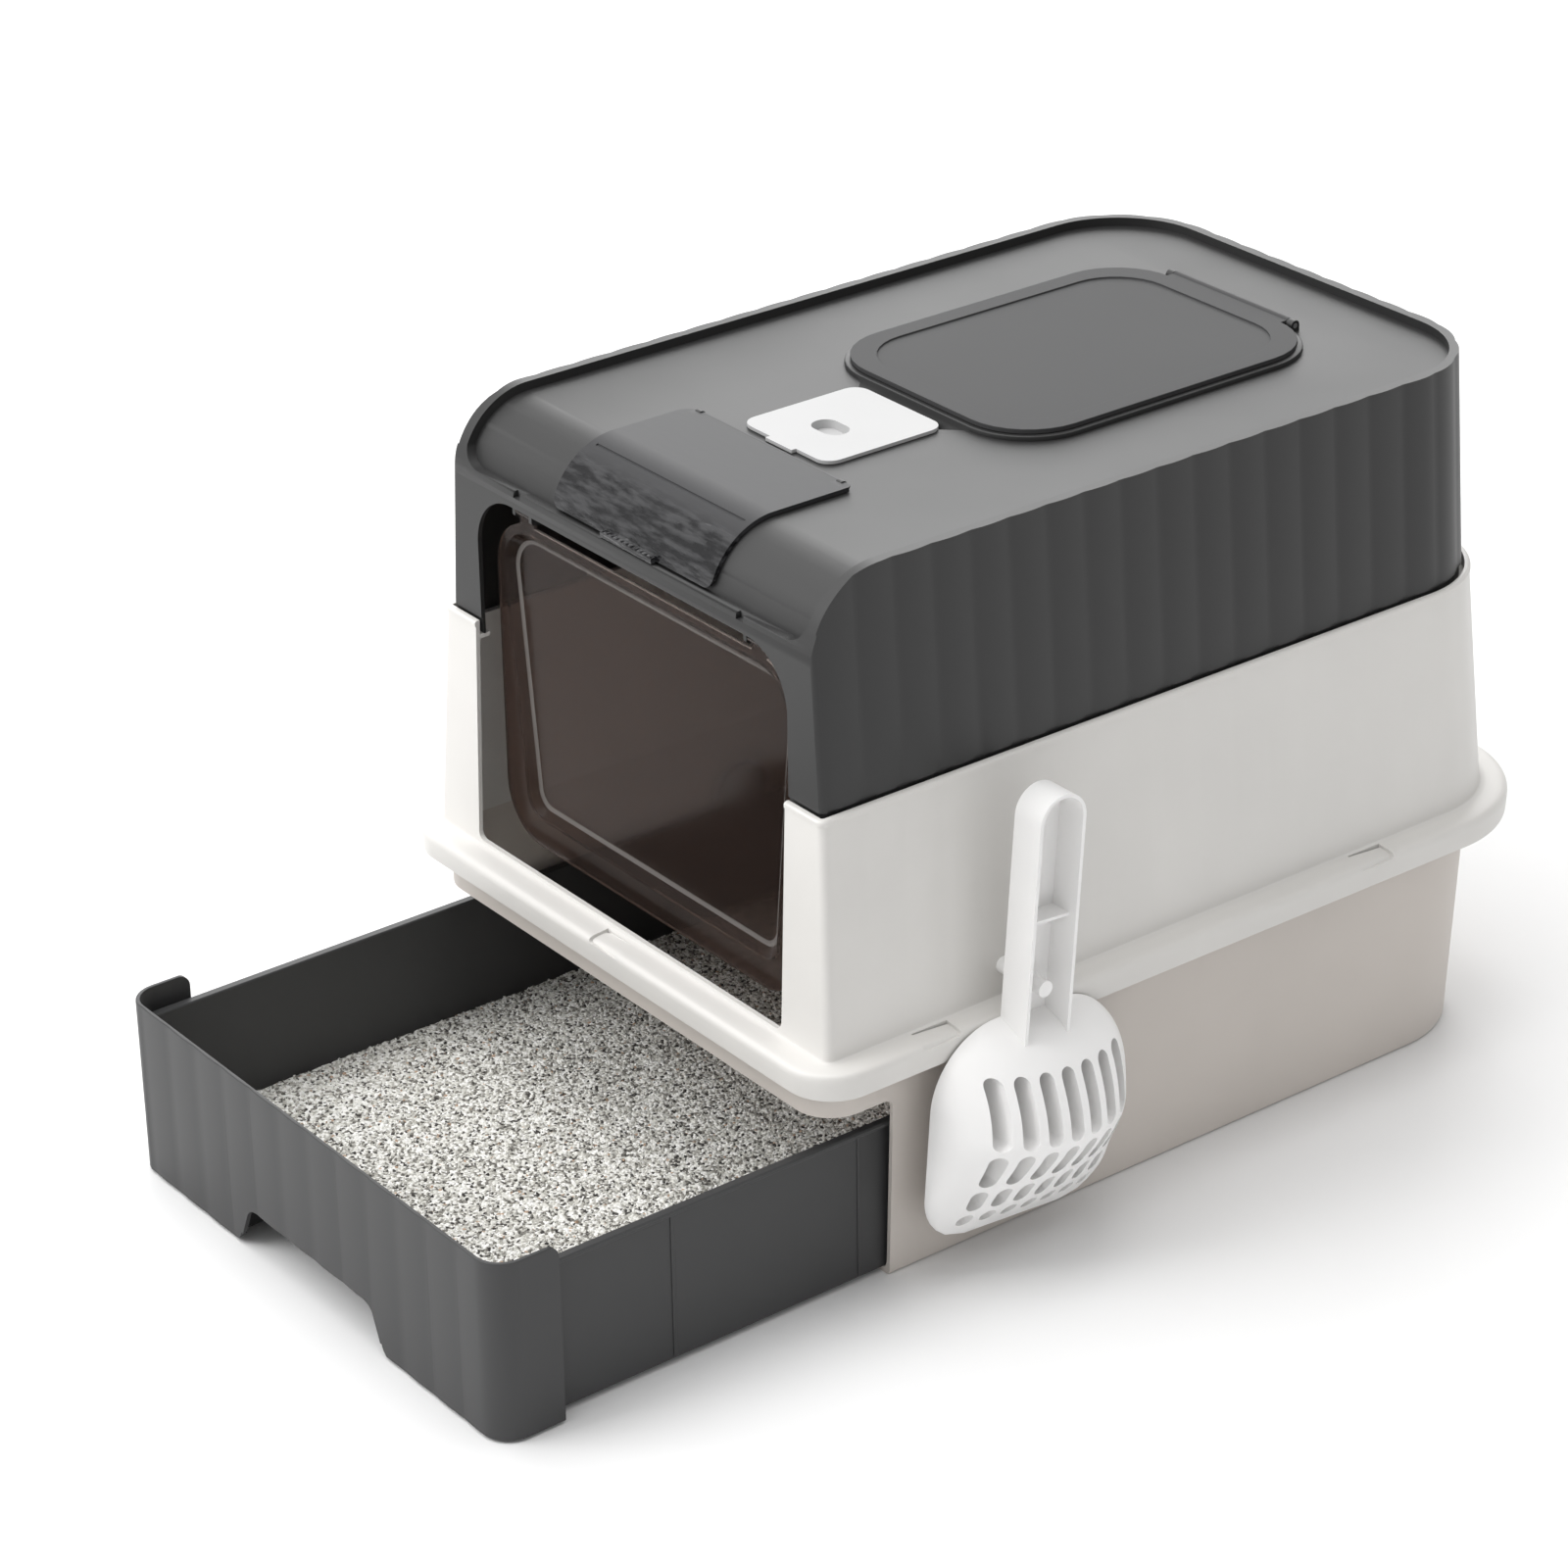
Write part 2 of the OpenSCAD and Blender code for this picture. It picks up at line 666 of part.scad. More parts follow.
module entry_door() {
    half_w = door_w / 2;
    plane_y = door_hinge_y - door_t / 2;
    color("#4a4038")
    difference() {
        union() {
            front_view(plane_y, plane_y + door_t)
                polygon(concat(
                    arc_points(half_w - door_r, door_top_z - door_r, door_r, 0, 90),
                    arc_points(-half_w + door_r, door_top_z - door_r, door_r, 90, 180),
                    arc_points(-half_w + door_r, door_low_z + door_r, door_r, 180, 270),
                    arc_points(half_w - door_r, door_low_z + door_r, door_r, 270, 360)));
            // Bead round the recessed panel, narrower toward the bottom
            front_view(plane_y - door_bead_h, plane_y + door_t / 2)
                difference() {
                    panel_outline(0);
                    panel_outline(door_bead_w);
                }
            for (s = [-1, 1])
                translate([s * hook_x, door_hinge_y, door_hinge_z]) {
                    rod_x(hook_r, hook_w);
                    translate([0, 0, -hook_r - thin])
                        cube([hook_w, door_t, door_hinge_z - door_top_z + thin], center = true);
                }
        }
        translate([0, door_hinge_y, door_hinge_z])
            rod_x(door_pin_r + pin_clear, hook_span + 2 * hook_w);
    }
}

module panel_outline(t) {
    top_half = panel_top_w / 2 - t;
    low_half = panel_low_w / 2 - t;
    r = panel_r - t / 2;
    polygon(concat(
        arc_points(top_half - r, panel_top_z - t - r, r, 0, 90),
        arc_points(-top_half + r, panel_top_z - t - r, r, 90, 180),
        arc_points(-low_half + r, panel_low_z + t + r, r, 180, 270),
        arc_points(low_half - r, panel_low_z + t + r, r, 270, 360)));
}

module door_pin(side) {
    pin_len = hook_w + 2 * ear_gap + 2 * ear_t;
    color("silver")
    translate([side * hook_x, door_hinge_y, door_hinge_z])
        rod_x(door_pin_r, pin_len);
}

module door_pin_left() {
    door_pin(-1);
}

module door_pin_right() {
    door_pin(1);
}

// Outline of the drawer's front and wings seen from above, t inside the outer face
module wing_plan(t) {
    half_w = drawer_w / 2 - t;
    y = drawer_front_y + t;
    r = max(wing_r - t, least_r);
    polygon(concat(
        [[half_w, drawer_front_y + wing_len + t], [-half_w, drawer_front_y + wing_len + t]],
        arc_points(-half_w + r, y + r, r, 180, 270),
        arc_points(half_w - r, y + r, r, 270, 360)));
}

module litter_drawer() {
    inside = drawn_in(tray_plan, wall);
    pocket_back = drawer_front_y + wall + grip_depth;
    color("#4d4d4d")
    difference() {
        union() {
            // Front panel with its wings
            translate([0, 0, drawer_low_z])
                linear_extrude(drawer_top_z - drawer_low_z)
                    difference() {
                        wing_plan(0);
                        wing_plan(wall);
                    }
            // Tray with a small outer lip, side ribs and stop ears
            difference() {
                union() {
                    slab(tray_plan, tray_low_z, tray_rim_z);
                    slab([tray_w + 2 * tray_lip_w, tray_front_y, tray_back_y + tray_lip_w, tray_r, tray_back_r, 0],
                        tray_rim_z - tray_lip_h, tray_rim_z);
                    for (s = [-1, 1], y = rib_y)
                        translate([s * tray_w / 2, drawer_front_y + y, (tray_low_z + tray_rim_z) / 2])
                            cube([2 * rib_h, rib_w, tray_rim_z - tray_low_z - lip_w], center = true);
                    side_view(tray_w)
                        polygon(concat(
                            [[ear_rest_y + ear_len / 2, tray_rim_z - thin]],
                            arc_points(ear_rest_y + ear_len / 2 - arch_r / 2, tray_rim_z + ear_h - arch_r / 2,
                                arch_r / 2, 0, 90),
                            arc_points(ear_rest_y - ear_len / 2 + arch_r / 2, tray_rim_z + ear_h - arch_r / 2,
                                arch_r / 2, 90, 180),
                            [[ear_rest_y - ear_len / 2, tray_rim_z - thin]]));
                }
                slab(inside, tray_low_z + wall, tray_rim_z + ear_h + over);
            }
            // Finger pocket behind the cut-out
            translate([-pocket_w / 2 - wall, drawer_front_y + wall / 2, tray_low_z])
                cube([pocket_w + 2 * wall, pocket_back + wall / 2 - drawer_front_y, pocket_top_z - tray_low_z]);
        }
        translate([-pocket_w / 2, drawer_front_y + wall, -over])
            cube([pocket_w, grip_depth, pocket_top_z - wall + over]);
        front_view(drawer_front_y - over, drawer_front_y + wall + thin)
            polygon([[-grip_low_w / 2, -over], [grip_low_w / 2, -over], [grip_low_w / 2, drawer_low_z],
                [grip_top_w / 2, grip_z], [-grip_top_w / 2, grip_z], [-grip_low_w / 2, drawer_low_z]]);
    }
}

module litter_bed() {
    bed = drawn_in(tray_plan, wall + gap);
    pocket_back = drawer_front_y + wall + grip_depth + wall;
    color("#bdbab2")
    difference() {
        slab(bed, tray_low_z + wall + seat_gap, litter_z);
        translate([-pocket_w / 2 - wall - gap, drawer_front_y, 0])
            cube([pocket_w + 2 * wall + 2 * gap, pocket_back + gap - drawer_front_y, litter_z + over]);
    }
}

module hatch_lid() {
    ring_w = hatch_hole_w - 2 * hatch_ring_gap;
    ring_len = hatch_hole_len - 2 * hatch_ring_gap;
    ring_r = hatch_r - hatch_panel_inset - hatch_ring_gap;
    color("#787878")
    difference() {
        union() {
            slab(oblong(hatch_w, hatch_len, hatch_y, hatch_r), hatch_low_z, hatch_low_z + hatch_t);
            difference() {
                slab(oblong(ring_w, ring_len, hatch_y, ring_r), hatch_low_z - hatch_ring_h, hatch_low_z + thin / 2);
                slab(oblong(ring_w - 2 * thin, ring_len - 2 * thin, hatch_y, ring_r - thin),
                    hatch_low_z - hatch_ring_h - over, hatch_low_z);
            }
            translate([0, hatch_hinge_y, hatch_hinge_z])
                rod_x(hatch_barrel_r, hatch_barrel_len);
            translate([-hatch_barrel_len / 2, hatch_hinge_y - step_r, hatch_low_z])
                cube([hatch_barrel_len, step_r, hatch_t]);
        }
        slab(oblong(hatch_w - 2 * hatch_panel_inset, hatch_len - 2 * hatch_panel_inset, hatch_y,
            hatch_r - hatch_panel_inset / 2), hatch_low_z + hatch_t - hatch_panel_depth, cover_top_z + over);
        translate([0, hatch_hinge_y, hatch_hinge_z])
            rod_x(hatch_pin_r + pin_clear, hatch_barrel_len + over);
    }
}

module hatch_hinge_pin() {
    color("silver")
    translate([0, hatch_hinge_y, hatch_hinge_z])
        rod_x(hatch_pin_r, hatch_barrel_len + 2 * hatch_lug_w + 2 * gap);
}

// Curved see-through flap that lies on the roof and follows its front shoulder
module window_flap() {
    color("#3c3a3a")
    difference() {
        union() {
            difference() {
                side_view(flap_w)
                    intersection() {
                        flap_profile(flap_outer_r);
                        translate([shoulder_y - shoulder_r, flap_low_z])
                            square([flap_hinge_y - shoulder_y + shoulder_r, shoulder_r]);
                    }
                side_view(flap_w + over)
                    flap_profile(flap_inner_r);
            }
            intersection() {
                side_view(tab_w)
                    translate([shoulder_y - flap_outer_r - tab_t, flap_low_z - tab_t / 2])
                        square([tab_len, tab_t]);
                side_view(tab_w)
                    difference() {
                        roof_profile(shoulder_r, lintel_z);
                        roof_profile(flap_inner_r, lintel_z);
                    }
            }
            translate([0, flap_hinge_y, flap_hinge_z])
                rod_x(flap_barrel_r, flap_w);
        }
        for (s = [-1, 1])
            translate([s * flap_lug_x, flap_hinge_y, flap_hinge_z])
                cube([flap_lug_w + 2 * gap, 2 * flap_barrel_r + 2 * gap, 2 * flap_barrel_r + 2 * gap], center = true);
        translate([0, flap_hinge_y, flap_hinge_z])
            rod_x(flap_pin_r + pin_clear, flap_w + over);
    }
}

// Side-view outline that follows the shoulder at radius r and runs back to the hinge line
module flap_profile(r) {
    polygon(concat(
        [[shoulder_y - r, lintel_z - over], [flap_hinge_y + over, lintel_z - over],
            [flap_hinge_y + over, shoulder_z + r]],
        arc_points(shoulder_y, shoulder_z, r, 90, 180)));
}

module window_flap_pin() {
    color("silver")
    translate([0, flap_hinge_y, flap_hinge_z])
        rod_x(flap_pin_r, flap_w - thin);
}

// White plate with a finger dish, lying over the odour cup
module deodoriser_plate() {
    low = roof_z + seat_gap;
    color("white")
    difference() {
        union() {
            slab(oblong(plate_w, plate_len, plate_y, plate_r), low, low + plate_t);
            translate([-plate_tab_w / 2, plate_y - plate_len / 2 - plate_tab_len, low])
                cube([plate_tab_w, plate_tab_len + plate_r, plate_t]);
            slab(oblong(dish_w + thin, dish_len + thin, dish_y, dish_r + thin / 2),
                low + plate_t - dish_depth, low + plate_t);
        }
        slab(oblong(dish_w, dish_len, dish_y, dish_r), low + plate_t - dish_depth + thin / 2,
            low + plate_t + over);
    }
}

module deodoriser_cup() {
    top = roof_z;
    color("#5c5c5c")
    difference() {
        union() {
            slab(oblong(cup_w + 2 * cup_flange, cup_len + 2 * cup_flange, plate_y, sachet_r), top - cup_flange_t, top);
            slab(oblong(cup_w, cup_len, plate_y, sachet_r), roof_z - cup_depth, top);
        }
        slab(oblong(cup_w - 2 * cup_t, cup_len - 2 * cup_t, plate_y, sachet_r - cup_t),
            roof_z - cup_depth + cup_t, cover_top_z);
        for (x = cup_slots)
            translate([x - cup_slot_w / 2, plate_y - cup_len / 2 + sachet_r, roof_z - cup_depth - over])
                cube([cup_slot_w, cup_len - 2 * sachet_r, 2 * over]);
    }
}

module charcoal_sachet() {
    low = roof_z - cup_depth + cup_t + seat_gap;
    color("#3a3a3a")
    slab(oblong(cup_w - 2 * cup_t - thin, cup_len - 2 * cup_t - thin, plate_y, sachet_r - cup_t),
        low, low + sachet_h);
}

// The scoop's own frame: X out from its back, Z up along its handle
module scoop_frame() {
    translate([scoop_x, scoop_y, scoop_z])
        rotate([-scoop_lean, 0, 0])
            children();
}

// Raises an outline (Y, Z) along X in the scoop's frame
module outward(from, to) {
    translate([from, 0, 0])
        rotate([90, 0, 90])
            linear_extrude(to - from)
                children();
}

module handle_outline(t) {
    r = handle_w / 2 - t;
    translate([-r, -over])
        square([2 * r, handle_len - handle_w / 2 + over]);
    translate([0, handle_len - handle_w / 2])
        circle(r);
}

// Half width of the bowl at a distance below its top edge
function bowl_half(d) = bowl_w / 2
    - (d < bowl_top_r ? bowl_top_r - sqrt(bowl_top_r * bowl_top_r - pow(bowl_top_r - d, 2)) : 0)
    - (bowl_len - d < bowl_low_r
        ? bowl_low_r - sqrt(bowl_low_r * bowl_low_r - pow(bowl_low_r - bowl_len + d, 2)) : 0);

// One point of the bowl: section i of its side profile, at a turn round its side edge.
// The face lies t inside the outer one, and its open back starts at back_x
function bowl_point(i, side, turn, t, back_x) =
    let (d = t + bowl_length_shares[i] * (bowl_len - 2 * t))
    [back_x + bowl_depth_shares[i] * (bowl_d - t - back_x) * cos(turn),
        side * (bowl_half(d) - t - bowl_edge_w * (1 - sin(turn))), bowl_rise - d];

// Bowl as a dome over its side profile, with rounded side edges
module bowl_dome(t, back_x) {
    rows = len(bowl_depth_shares);
    cols = 2 * edge_steps + 2;
    points = [for (i = [0 : rows - 1], side = [-1, 1], k = [0 : edge_steps])
        bowl_point(i, side, (side < 0 ? edge_steps - k : k) * 90 / edge_steps, t, back_x)];
    curved = [for (i = [0 : rows - 2], j = [0 : cols - 2], half = [0, 1])
        half == 0
            ? [i * cols + j, i * cols + j + 1, (i + 1) * cols + j]
            : [i * cols + j + 1, (i + 1) * cols + j + 1, (i + 1) * cols + j]];
    back = concat(
        [for (j = [0 : cols - 1]) j],
        [for (i = [1 : rows - 1]) i * cols + cols - 1],
        [for (j = [cols - 2 : -1 : 0]) (rows - 1) * cols + j],
        [for (i = [rows - 2 : -1 : 1]) i * cols]);
    polyhedron(points, concat(curved, [[for (k = [len(back) - 1 : -1 : 0]) back[k]]]));
}

module scoop() {
    color("white")
    scoop_frame()
    difference() {
        union() {
            bowl_dome(0, 0);
            // Handle: a channel open outward, with cross webs
            difference() {
                outward(0, handle_d)
                    handle_outline(0);
                outward(scoop_t, handle_d + over)
                    handle_outline(scoop_t);
            }
            for (u = web_u)
                translate([scoop_t / 2, -handle_w / 2 + scoop_t / 2, u])
                    cube([handle_d - over, handle_w - scoop_t, web_t]);
        }
        bowl_dome(scoop_t, -least_r);
        for (row = slot_rows, i = [-slot_columns : slot_columns])
            translate([scoop_t, i * slot_pitch - slot_w / 2, row[0] - row[1]])
                cube([bowl_d + over, slot_w, row[1]]);
        translate([0, 0, peg_u])
            rod_x(peg_r + peg_clear, handle_d);
    }
}

module scoop_peg() {
    wall_x = body_foot_w / 2 - wall - (scoop_z + peg_u - body_foot_z) * flare_per_mm;
    color("white")
    scoop_frame()
        translate([wall_x - scoop_x, 0, peg_u])
            rotate([0, 90, 0])
                cylinder(r = peg_r, h = scoop_x - wall_x + peg_out);
}

base_tray();
body_shell();
top_cover();
entry_door();
door_pin_left();
door_pin_right();
litter_drawer();
litter_bed();
hatch_lid();
hatch_hinge_pin();
window_flap();
window_flap_pin();
deodoriser_plate();
deodoriser_cup();
charcoal_sachet();
scoop();
scoop_peg();
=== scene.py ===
import json
import math
import random

import bmesh
import bpy
from mathutils import Matrix, Vector

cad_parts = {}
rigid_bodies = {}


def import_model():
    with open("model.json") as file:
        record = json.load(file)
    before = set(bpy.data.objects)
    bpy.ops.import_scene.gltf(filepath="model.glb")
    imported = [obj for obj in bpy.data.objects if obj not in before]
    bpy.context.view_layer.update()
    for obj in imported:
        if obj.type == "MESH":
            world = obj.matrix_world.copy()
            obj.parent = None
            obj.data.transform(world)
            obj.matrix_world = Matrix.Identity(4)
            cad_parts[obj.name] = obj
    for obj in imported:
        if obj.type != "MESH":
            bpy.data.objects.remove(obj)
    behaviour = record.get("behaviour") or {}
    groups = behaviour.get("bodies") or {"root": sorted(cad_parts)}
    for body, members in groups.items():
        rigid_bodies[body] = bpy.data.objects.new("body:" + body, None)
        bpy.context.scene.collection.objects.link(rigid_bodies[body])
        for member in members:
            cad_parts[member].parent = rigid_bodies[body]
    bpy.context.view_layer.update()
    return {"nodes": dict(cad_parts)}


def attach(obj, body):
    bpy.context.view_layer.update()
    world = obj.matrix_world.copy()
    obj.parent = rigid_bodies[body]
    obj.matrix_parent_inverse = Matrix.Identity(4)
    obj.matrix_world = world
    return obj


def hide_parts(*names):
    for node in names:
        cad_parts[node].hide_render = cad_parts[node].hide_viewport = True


for spare in list(bpy.data.objects):
    bpy.data.objects.remove(spare)
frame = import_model()
MM = 0.001

# Floor, light and camera
# A pale studio floor under a sky that is brighter on the left, one broad lamp overhead and
# two on the left, and the photograph's long lens looking down on the right front corner.
FLOOR_GREY, FLOOR_HALF = 0.85, 12
SKY_LEFT, SKY_RIGHT = 1.1, 0.55
LAMPS = [("overhead", (-0.3, -0.5, 2.6), (0, 0, 0.2), 2.2, 38),
         ("left_front", (-1.0, -2.4, 2.2), (0, 0, 0.15), 1.8, 42),
         ("left_back", (-2.6, 2.1, 1.9), (0, 0, 0.3), 2.4, 52)]
CAMERA_PLACE = (1.76791, -1.47977, 1.33367)
CAMERA_TURN, CAMERA_DROP, CAMERA_ROLL = 52.8, 27.1, -0.92
CAMERA_LENS, SENSOR_WIDTH = 107.55, 36


def piece_from(name, data):
    """New object in the scene that shows a mesh, a lamp or a camera."""
    piece = bpy.data.objects.new(name, data)
    bpy.context.scene.collection.objects.link(piece)
    return piece


def new_material(name):
    finish = bpy.data.materials.new(name)
    finish.use_nodes = True
    return finish, finish.node_tree, finish.node_tree.nodes["Principled BSDF"]


def feed(tree, node, inputs):
    """Sets a node's inputs, and links those that are given another node's output."""
    for key, value in inputs.items():
        if isinstance(value, bpy.types.NodeSocket):
            tree.links.new(value, node.inputs[key])
        else:
            node.inputs[key].default_value = value


def add_node(tree, kind, inputs, **settings):
    """Adds a node with its settings and inputs, and gives its outputs."""
    node = tree.nodes.new(kind)
    for key, value in settings.items():
        setattr(node, key, value)
    feed(tree, node, inputs)
    return node.outputs


floor_mesh = bpy.data.meshes.new("studio_floor")
floor_mesh.from_pydata([(x * FLOOR_HALF, y * FLOOR_HALF, 0) for x, y in ((-1, -1), (1, -1), (1, 1), (-1, 1))],
                       [], [(0, 1, 2, 3)])
floor = piece_from("studio_floor", floor_mesh)
floor_paint, tree, shader = new_material("studio_floor")
feed(tree, shader, {"Base Color": (FLOOR_GREY, FLOOR_GREY, FLOOR_GREY, 1), "Roughness": 0.9})
floor.data.materials.append(floor_paint)

world = bpy.data.worlds.new("studio")
world.use_nodes = True
tree = world.node_tree
way = add_node(tree, "ShaderNodeTexCoord", {})["Generated"]
to_right = add_node(tree, "ShaderNodeSeparateXYZ", {0: way})["X"]
strength = add_node(tree, "ShaderNodeMapRange", {"Value": to_right, "From Min": -0.9, "From Max": 0.6,
                                                 "To Min": SKY_LEFT, "To Max": SKY_RIGHT})["Result"]
feed(tree, tree.nodes["Background"], {"Color": (1, 1, 1, 1), "Strength": strength})
bpy.context.scene.world = world
bpy.context.scene.view_settings.view_transform = "Standard"

for name, place, aim, width, power in LAMPS:
    lamp = bpy.data.lights.new(name, "AREA")
    lamp.shape, lamp.size, lamp.energy = "SQUARE", width, power
    aimed = (Vector(place) - Vector(aim)).to_track_quat("Z", "Y").to_matrix().to_4x4()
    piece_from(name, lamp).matrix_world = Matrix.Translation(place) @ aimed

turn, drop, roll = (math.radians(a) for a in (CAMERA_TURN, CAMERA_DROP, CAMERA_ROLL))
toward = Vector((math.sin(turn) * math.cos(drop), -math.cos(turn) * math.cos(drop), math.sin(drop)))
across = Vector((math.cos(turn), math.sin(turn), 0))
upward = across.cross(-toward)
view_x = math.cos(roll) * across + math.sin(roll) * upward
view_y = -math.sin(roll) * across + math.cos(roll) * upward
lens = bpy.data.cameras.new("camera")
lens.lens, lens.sensor_width = CAMERA_LENS, SENSOR_WIDTH
camera = piece_from("camera", lens)
view = Matrix((view_x, view_y, toward)).transposed().to_4x4()
camera.matrix_world = Matrix.Translation(CAMERA_PLACE) @ view
bpy.context.scene.camera = camera

# Base tray
# The white tray that everything stands on: one injection-moulded polypropylene
# shell with a lip near its top edge and a bay cut out in front for the drawer.
BASE_WHITE = (0.6, 0.555, 0.515)
BASE_TOP = dict(width=349, front=-239, back=239, front_r=27, rear_r=64)
BASE_LOW = dict(width=339, front=-235, back=235, front_r=27, rear_r=64)
BASE_TOP_Z = 143.8
BEAM_FRONT, BEAM_R = -248, 22
BASE_WALL, BASE_LIP = 2.5, 5
BAY_FRONT, BAY_BACK, BAY_LOW, BAY_TOP, BAY_R = -300, -203, -5, 108.5, 6
BEAM_HOLLOW, BEAM_HOLLOW_HALF = (-245.6, -238.9, 100, 126.2), 146
SIDE_STEPS, END_STEPS, CORNER_STEPS = 60, 30, 14
THROUGH = (-200, 200)


def between(low, high, share):
    """Plan part of the way from one outline to another."""
    return {key: low[key] + (high[key] - low[key]) * share for key in low}


def drawn_in(plan, t):
    """Plan moved in by t all round."""
    return dict(width=plan["width"] - 2 * t, front=plan["front"] + t, back=plan["back"] - t,
                front_r=max(plan["front_r"] - t, 0.4), rear_r=max(plan["rear_r"] - t, 0.4))


def walk_round(plan, side_steps, end_steps, corner_steps):
    """Points and outward directions round a plan, from the front right corner."""
    half = plan["width"] / 2
    front, back, fr, rr = plan["front"], plan["back"], plan["front_r"], plan["rear_r"]
    corners = [(half - fr, front + fr, fr, 270), (half - rr, back - rr, rr, 0),
               (-half + rr, back - rr, rr, 90), (-half + fr, front + fr, fr, 180)]
    steps = [side_steps, end_steps, side_steps, end_steps]
    found = []
    for n, (cx, cy, r, start) in enumerate(corners):
        for i in range(corner_steps + 1):
            a = math.radians(start + 90 * i / corner_steps)
            found.append((cx + r * math.cos(a), cy + r * math.sin(a), math.cos(a), math.sin(a)))
        next_x, next_y, next_r, next_start = corners[(n + 1) % 4]
        a = math.radians(next_start)
        end = (next_x + next_r * math.cos(a), next_y + next_r * math.sin(a))
        last = found[-1]
        for i in range(1, steps[n]):
            share = i / steps[n]
            found.append((last[0] + (end[0] - last[0]) * share, last[1] + (end[1] - last[1]) * share,
                          last[2], last[3]))
    return found


def moulded_wall(name, levels, steps, ring=False, flutes=None):
    """Closed shell through plans at heights. levels is a list of (plan, z, flute weight), and
    a plan is an outline's sizes or its points. With ring the last level joins the first;
    otherwise both ends are closed flat."""
    rows = [[(x * MM, y * MM, z * MM, nx, ny, w)
             for x, y, nx, ny in (walk_round(plan, *steps) if isinstance(plan, dict) else plan)]
            for plan, z, w in levels]
    count = len(rows[0])
    run, length = [], 0.0
    for i in range(count):
        if i:
            length += math.dist(rows[0][i][:2], rows[0][i - 1][:2])
        run.append(length)
    points = [p[:3] for row in rows for p in row]
    faces = []
    for k in range(len(rows) if ring else len(rows) - 1):
        a, b = k * count, ((k + 1) % len(rows)) * count
        faces += [(a + i, a + (i + 1) % count, b + (i + 1) % count, b + i) for i in range(count)]
    if not ring:
        faces.append(tuple(reversed(range(count))))
        faces.append(tuple(range((len(rows) - 1) * count, len(rows) * count)))
    mesh = bpy.data.meshes.new(name)
    mesh.from_pydata(points, [], faces)
    if flutes:
        first, last = flutes
        weight = mesh.attributes.new("fluted", "FLOAT", "POINT")
        along = mesh.attributes.new("run", "FLOAT", "POINT")
        out = mesh.attributes.new("outward", "FLOAT_VECTOR", "POINT")
        for k, row in enumerate(rows):
            for i, p in enumerate(row):
                n = k * count + i
                weight.data[n].value = p[5] if first <= i <= last else 0.0
                along.data[n].value = run[i] - run[first]
                out.data[n].vector = (p[3], p[4], 0)
    return piece_from(name, mesh)


def settle(piece):
    """Turns the piece and its modifiers into one plain mesh."""
    bpy.context.view_layer.update()
    mesh = bpy.data.meshes.new_from_object(piece.evaluated_get(bpy.context.evaluated_depsgraph_get()))
    piece.modifiers.clear()
    piece.data = mesh
    return piece


def carve(piece, tool, operation="DIFFERENCE"):
    """Cuts, keeps or adds the tool's shape, and puts the tool away."""
    joint = piece.modifiers.new("joint", "BOOLEAN")
    joint.operation = operation
    joint.solver = "EXACT"
    joint.object = tool
    settle(piece)
    bpy.data.objects.remove(tool)
    return piece


def arc(cx, cy, r, start, end, steps=12):
    return [(cx + r * math.cos(math.radians(start + (end - start) * i / steps)),
             cy + r * math.sin(math.radians(start + (end - start) * i / steps))) for i in range(steps + 1)]


def disc(cx, cy, r, steps=20):
    return arc(cx, cy, r, 0, 360, steps)[:-1]


def rect(x0, x1, y0, y1):
    return [(x0, y0), (x1, y0), (x1, y1), (x0, y1)]


def skin(name, rings):
    """Closed shape through rings of points, flat at both ends and facing outward."""
    count = len(rings[0])
    faces = [(k + i, k + (i + 1) % count, k + count + (i + 1) % count, k + count + i)
             for k in range(0, (len(rings) - 1) * count, count) for i in range(count)]
    faces += [tuple(reversed(range(count))), tuple(range((len(rings) - 1) * count, len(rings) * count))]
    mesh = bpy.data.meshes.new(name)
    mesh.from_pydata([[c * MM for c in point] for ring in rings for point in ring], [], faces)
    work = bmesh.new()
    work.from_mesh(mesh)
    bmesh.ops.remove_doubles(work, verts=work.verts, dist=0.00001)
    bmesh.ops.recalc_face_normals(work, faces=work.faces)
    work.to_mesh(mesh)
    work.free()
    return piece_from(name, mesh)


def bar_along(name, axis, outline, *stations):
    """Straight bar of an outline: along X it is seen in (Y, Z), along Y in (X, Z), along Z in (X, Y)."""
    place = {"X": lambda a, b, t: (t, a, b), "Y": lambda a, b, t: (a, t, b),
             "Z": lambda a, b, t: (a, b, t)}[axis]
    return skin(name, [[place(a, b, t) for a, b in outline] for t in stations])


def cut(piece, *bar):
    return carve(piece, bar_along(*bar))


def keep(piece, *bar):
    return carve(piece, bar_along(*bar), "INTERSECT")


def weld(piece, *bar):
    return carve(piece, bar_along(*bar), "UNION")


def soften(piece, width, angle=35, segments=2, smooth=30):
    """Rounds the moulded edges and shades the walls smoothly."""
    if width:
        edge = piece.modifiers.new("edge", "BEVEL")
        edge.width = width * MM
        edge.segments = segments
        edge.limit_method = "ANGLE"
        edge.angle_limit = math.radians(angle)
        edge.use_clamp_overlap = True
        settle(piece)
    piece.data.shade_smooth()
    piece.data.set_sharp_from_angle(angle=math.radians(smooth))
    even = piece.modifiers.new("even", "WEIGHTED_NORMAL")
    even.keep_sharp = True
    even.weight = 50
    return settle(piece)


def colour_ramp(tree, factor, stops, interpolation="LINEAR"):
    """Colours at (position, colour) stops. The first two take the places a new ramp has."""
    node = tree.nodes.new("ShaderNodeValToRGB")
    node.color_ramp.interpolation = interpolation
    elements = node.color_ramp.elements
    for k, (position, colour) in enumerate(stops):
        stop = elements[k] if k < 2 else elements.new(position)
        stop.position, stop.color = position, (*colour, 1)
    feed(tree, node, {"Fac": factor})
    return node.outputs["Color"]


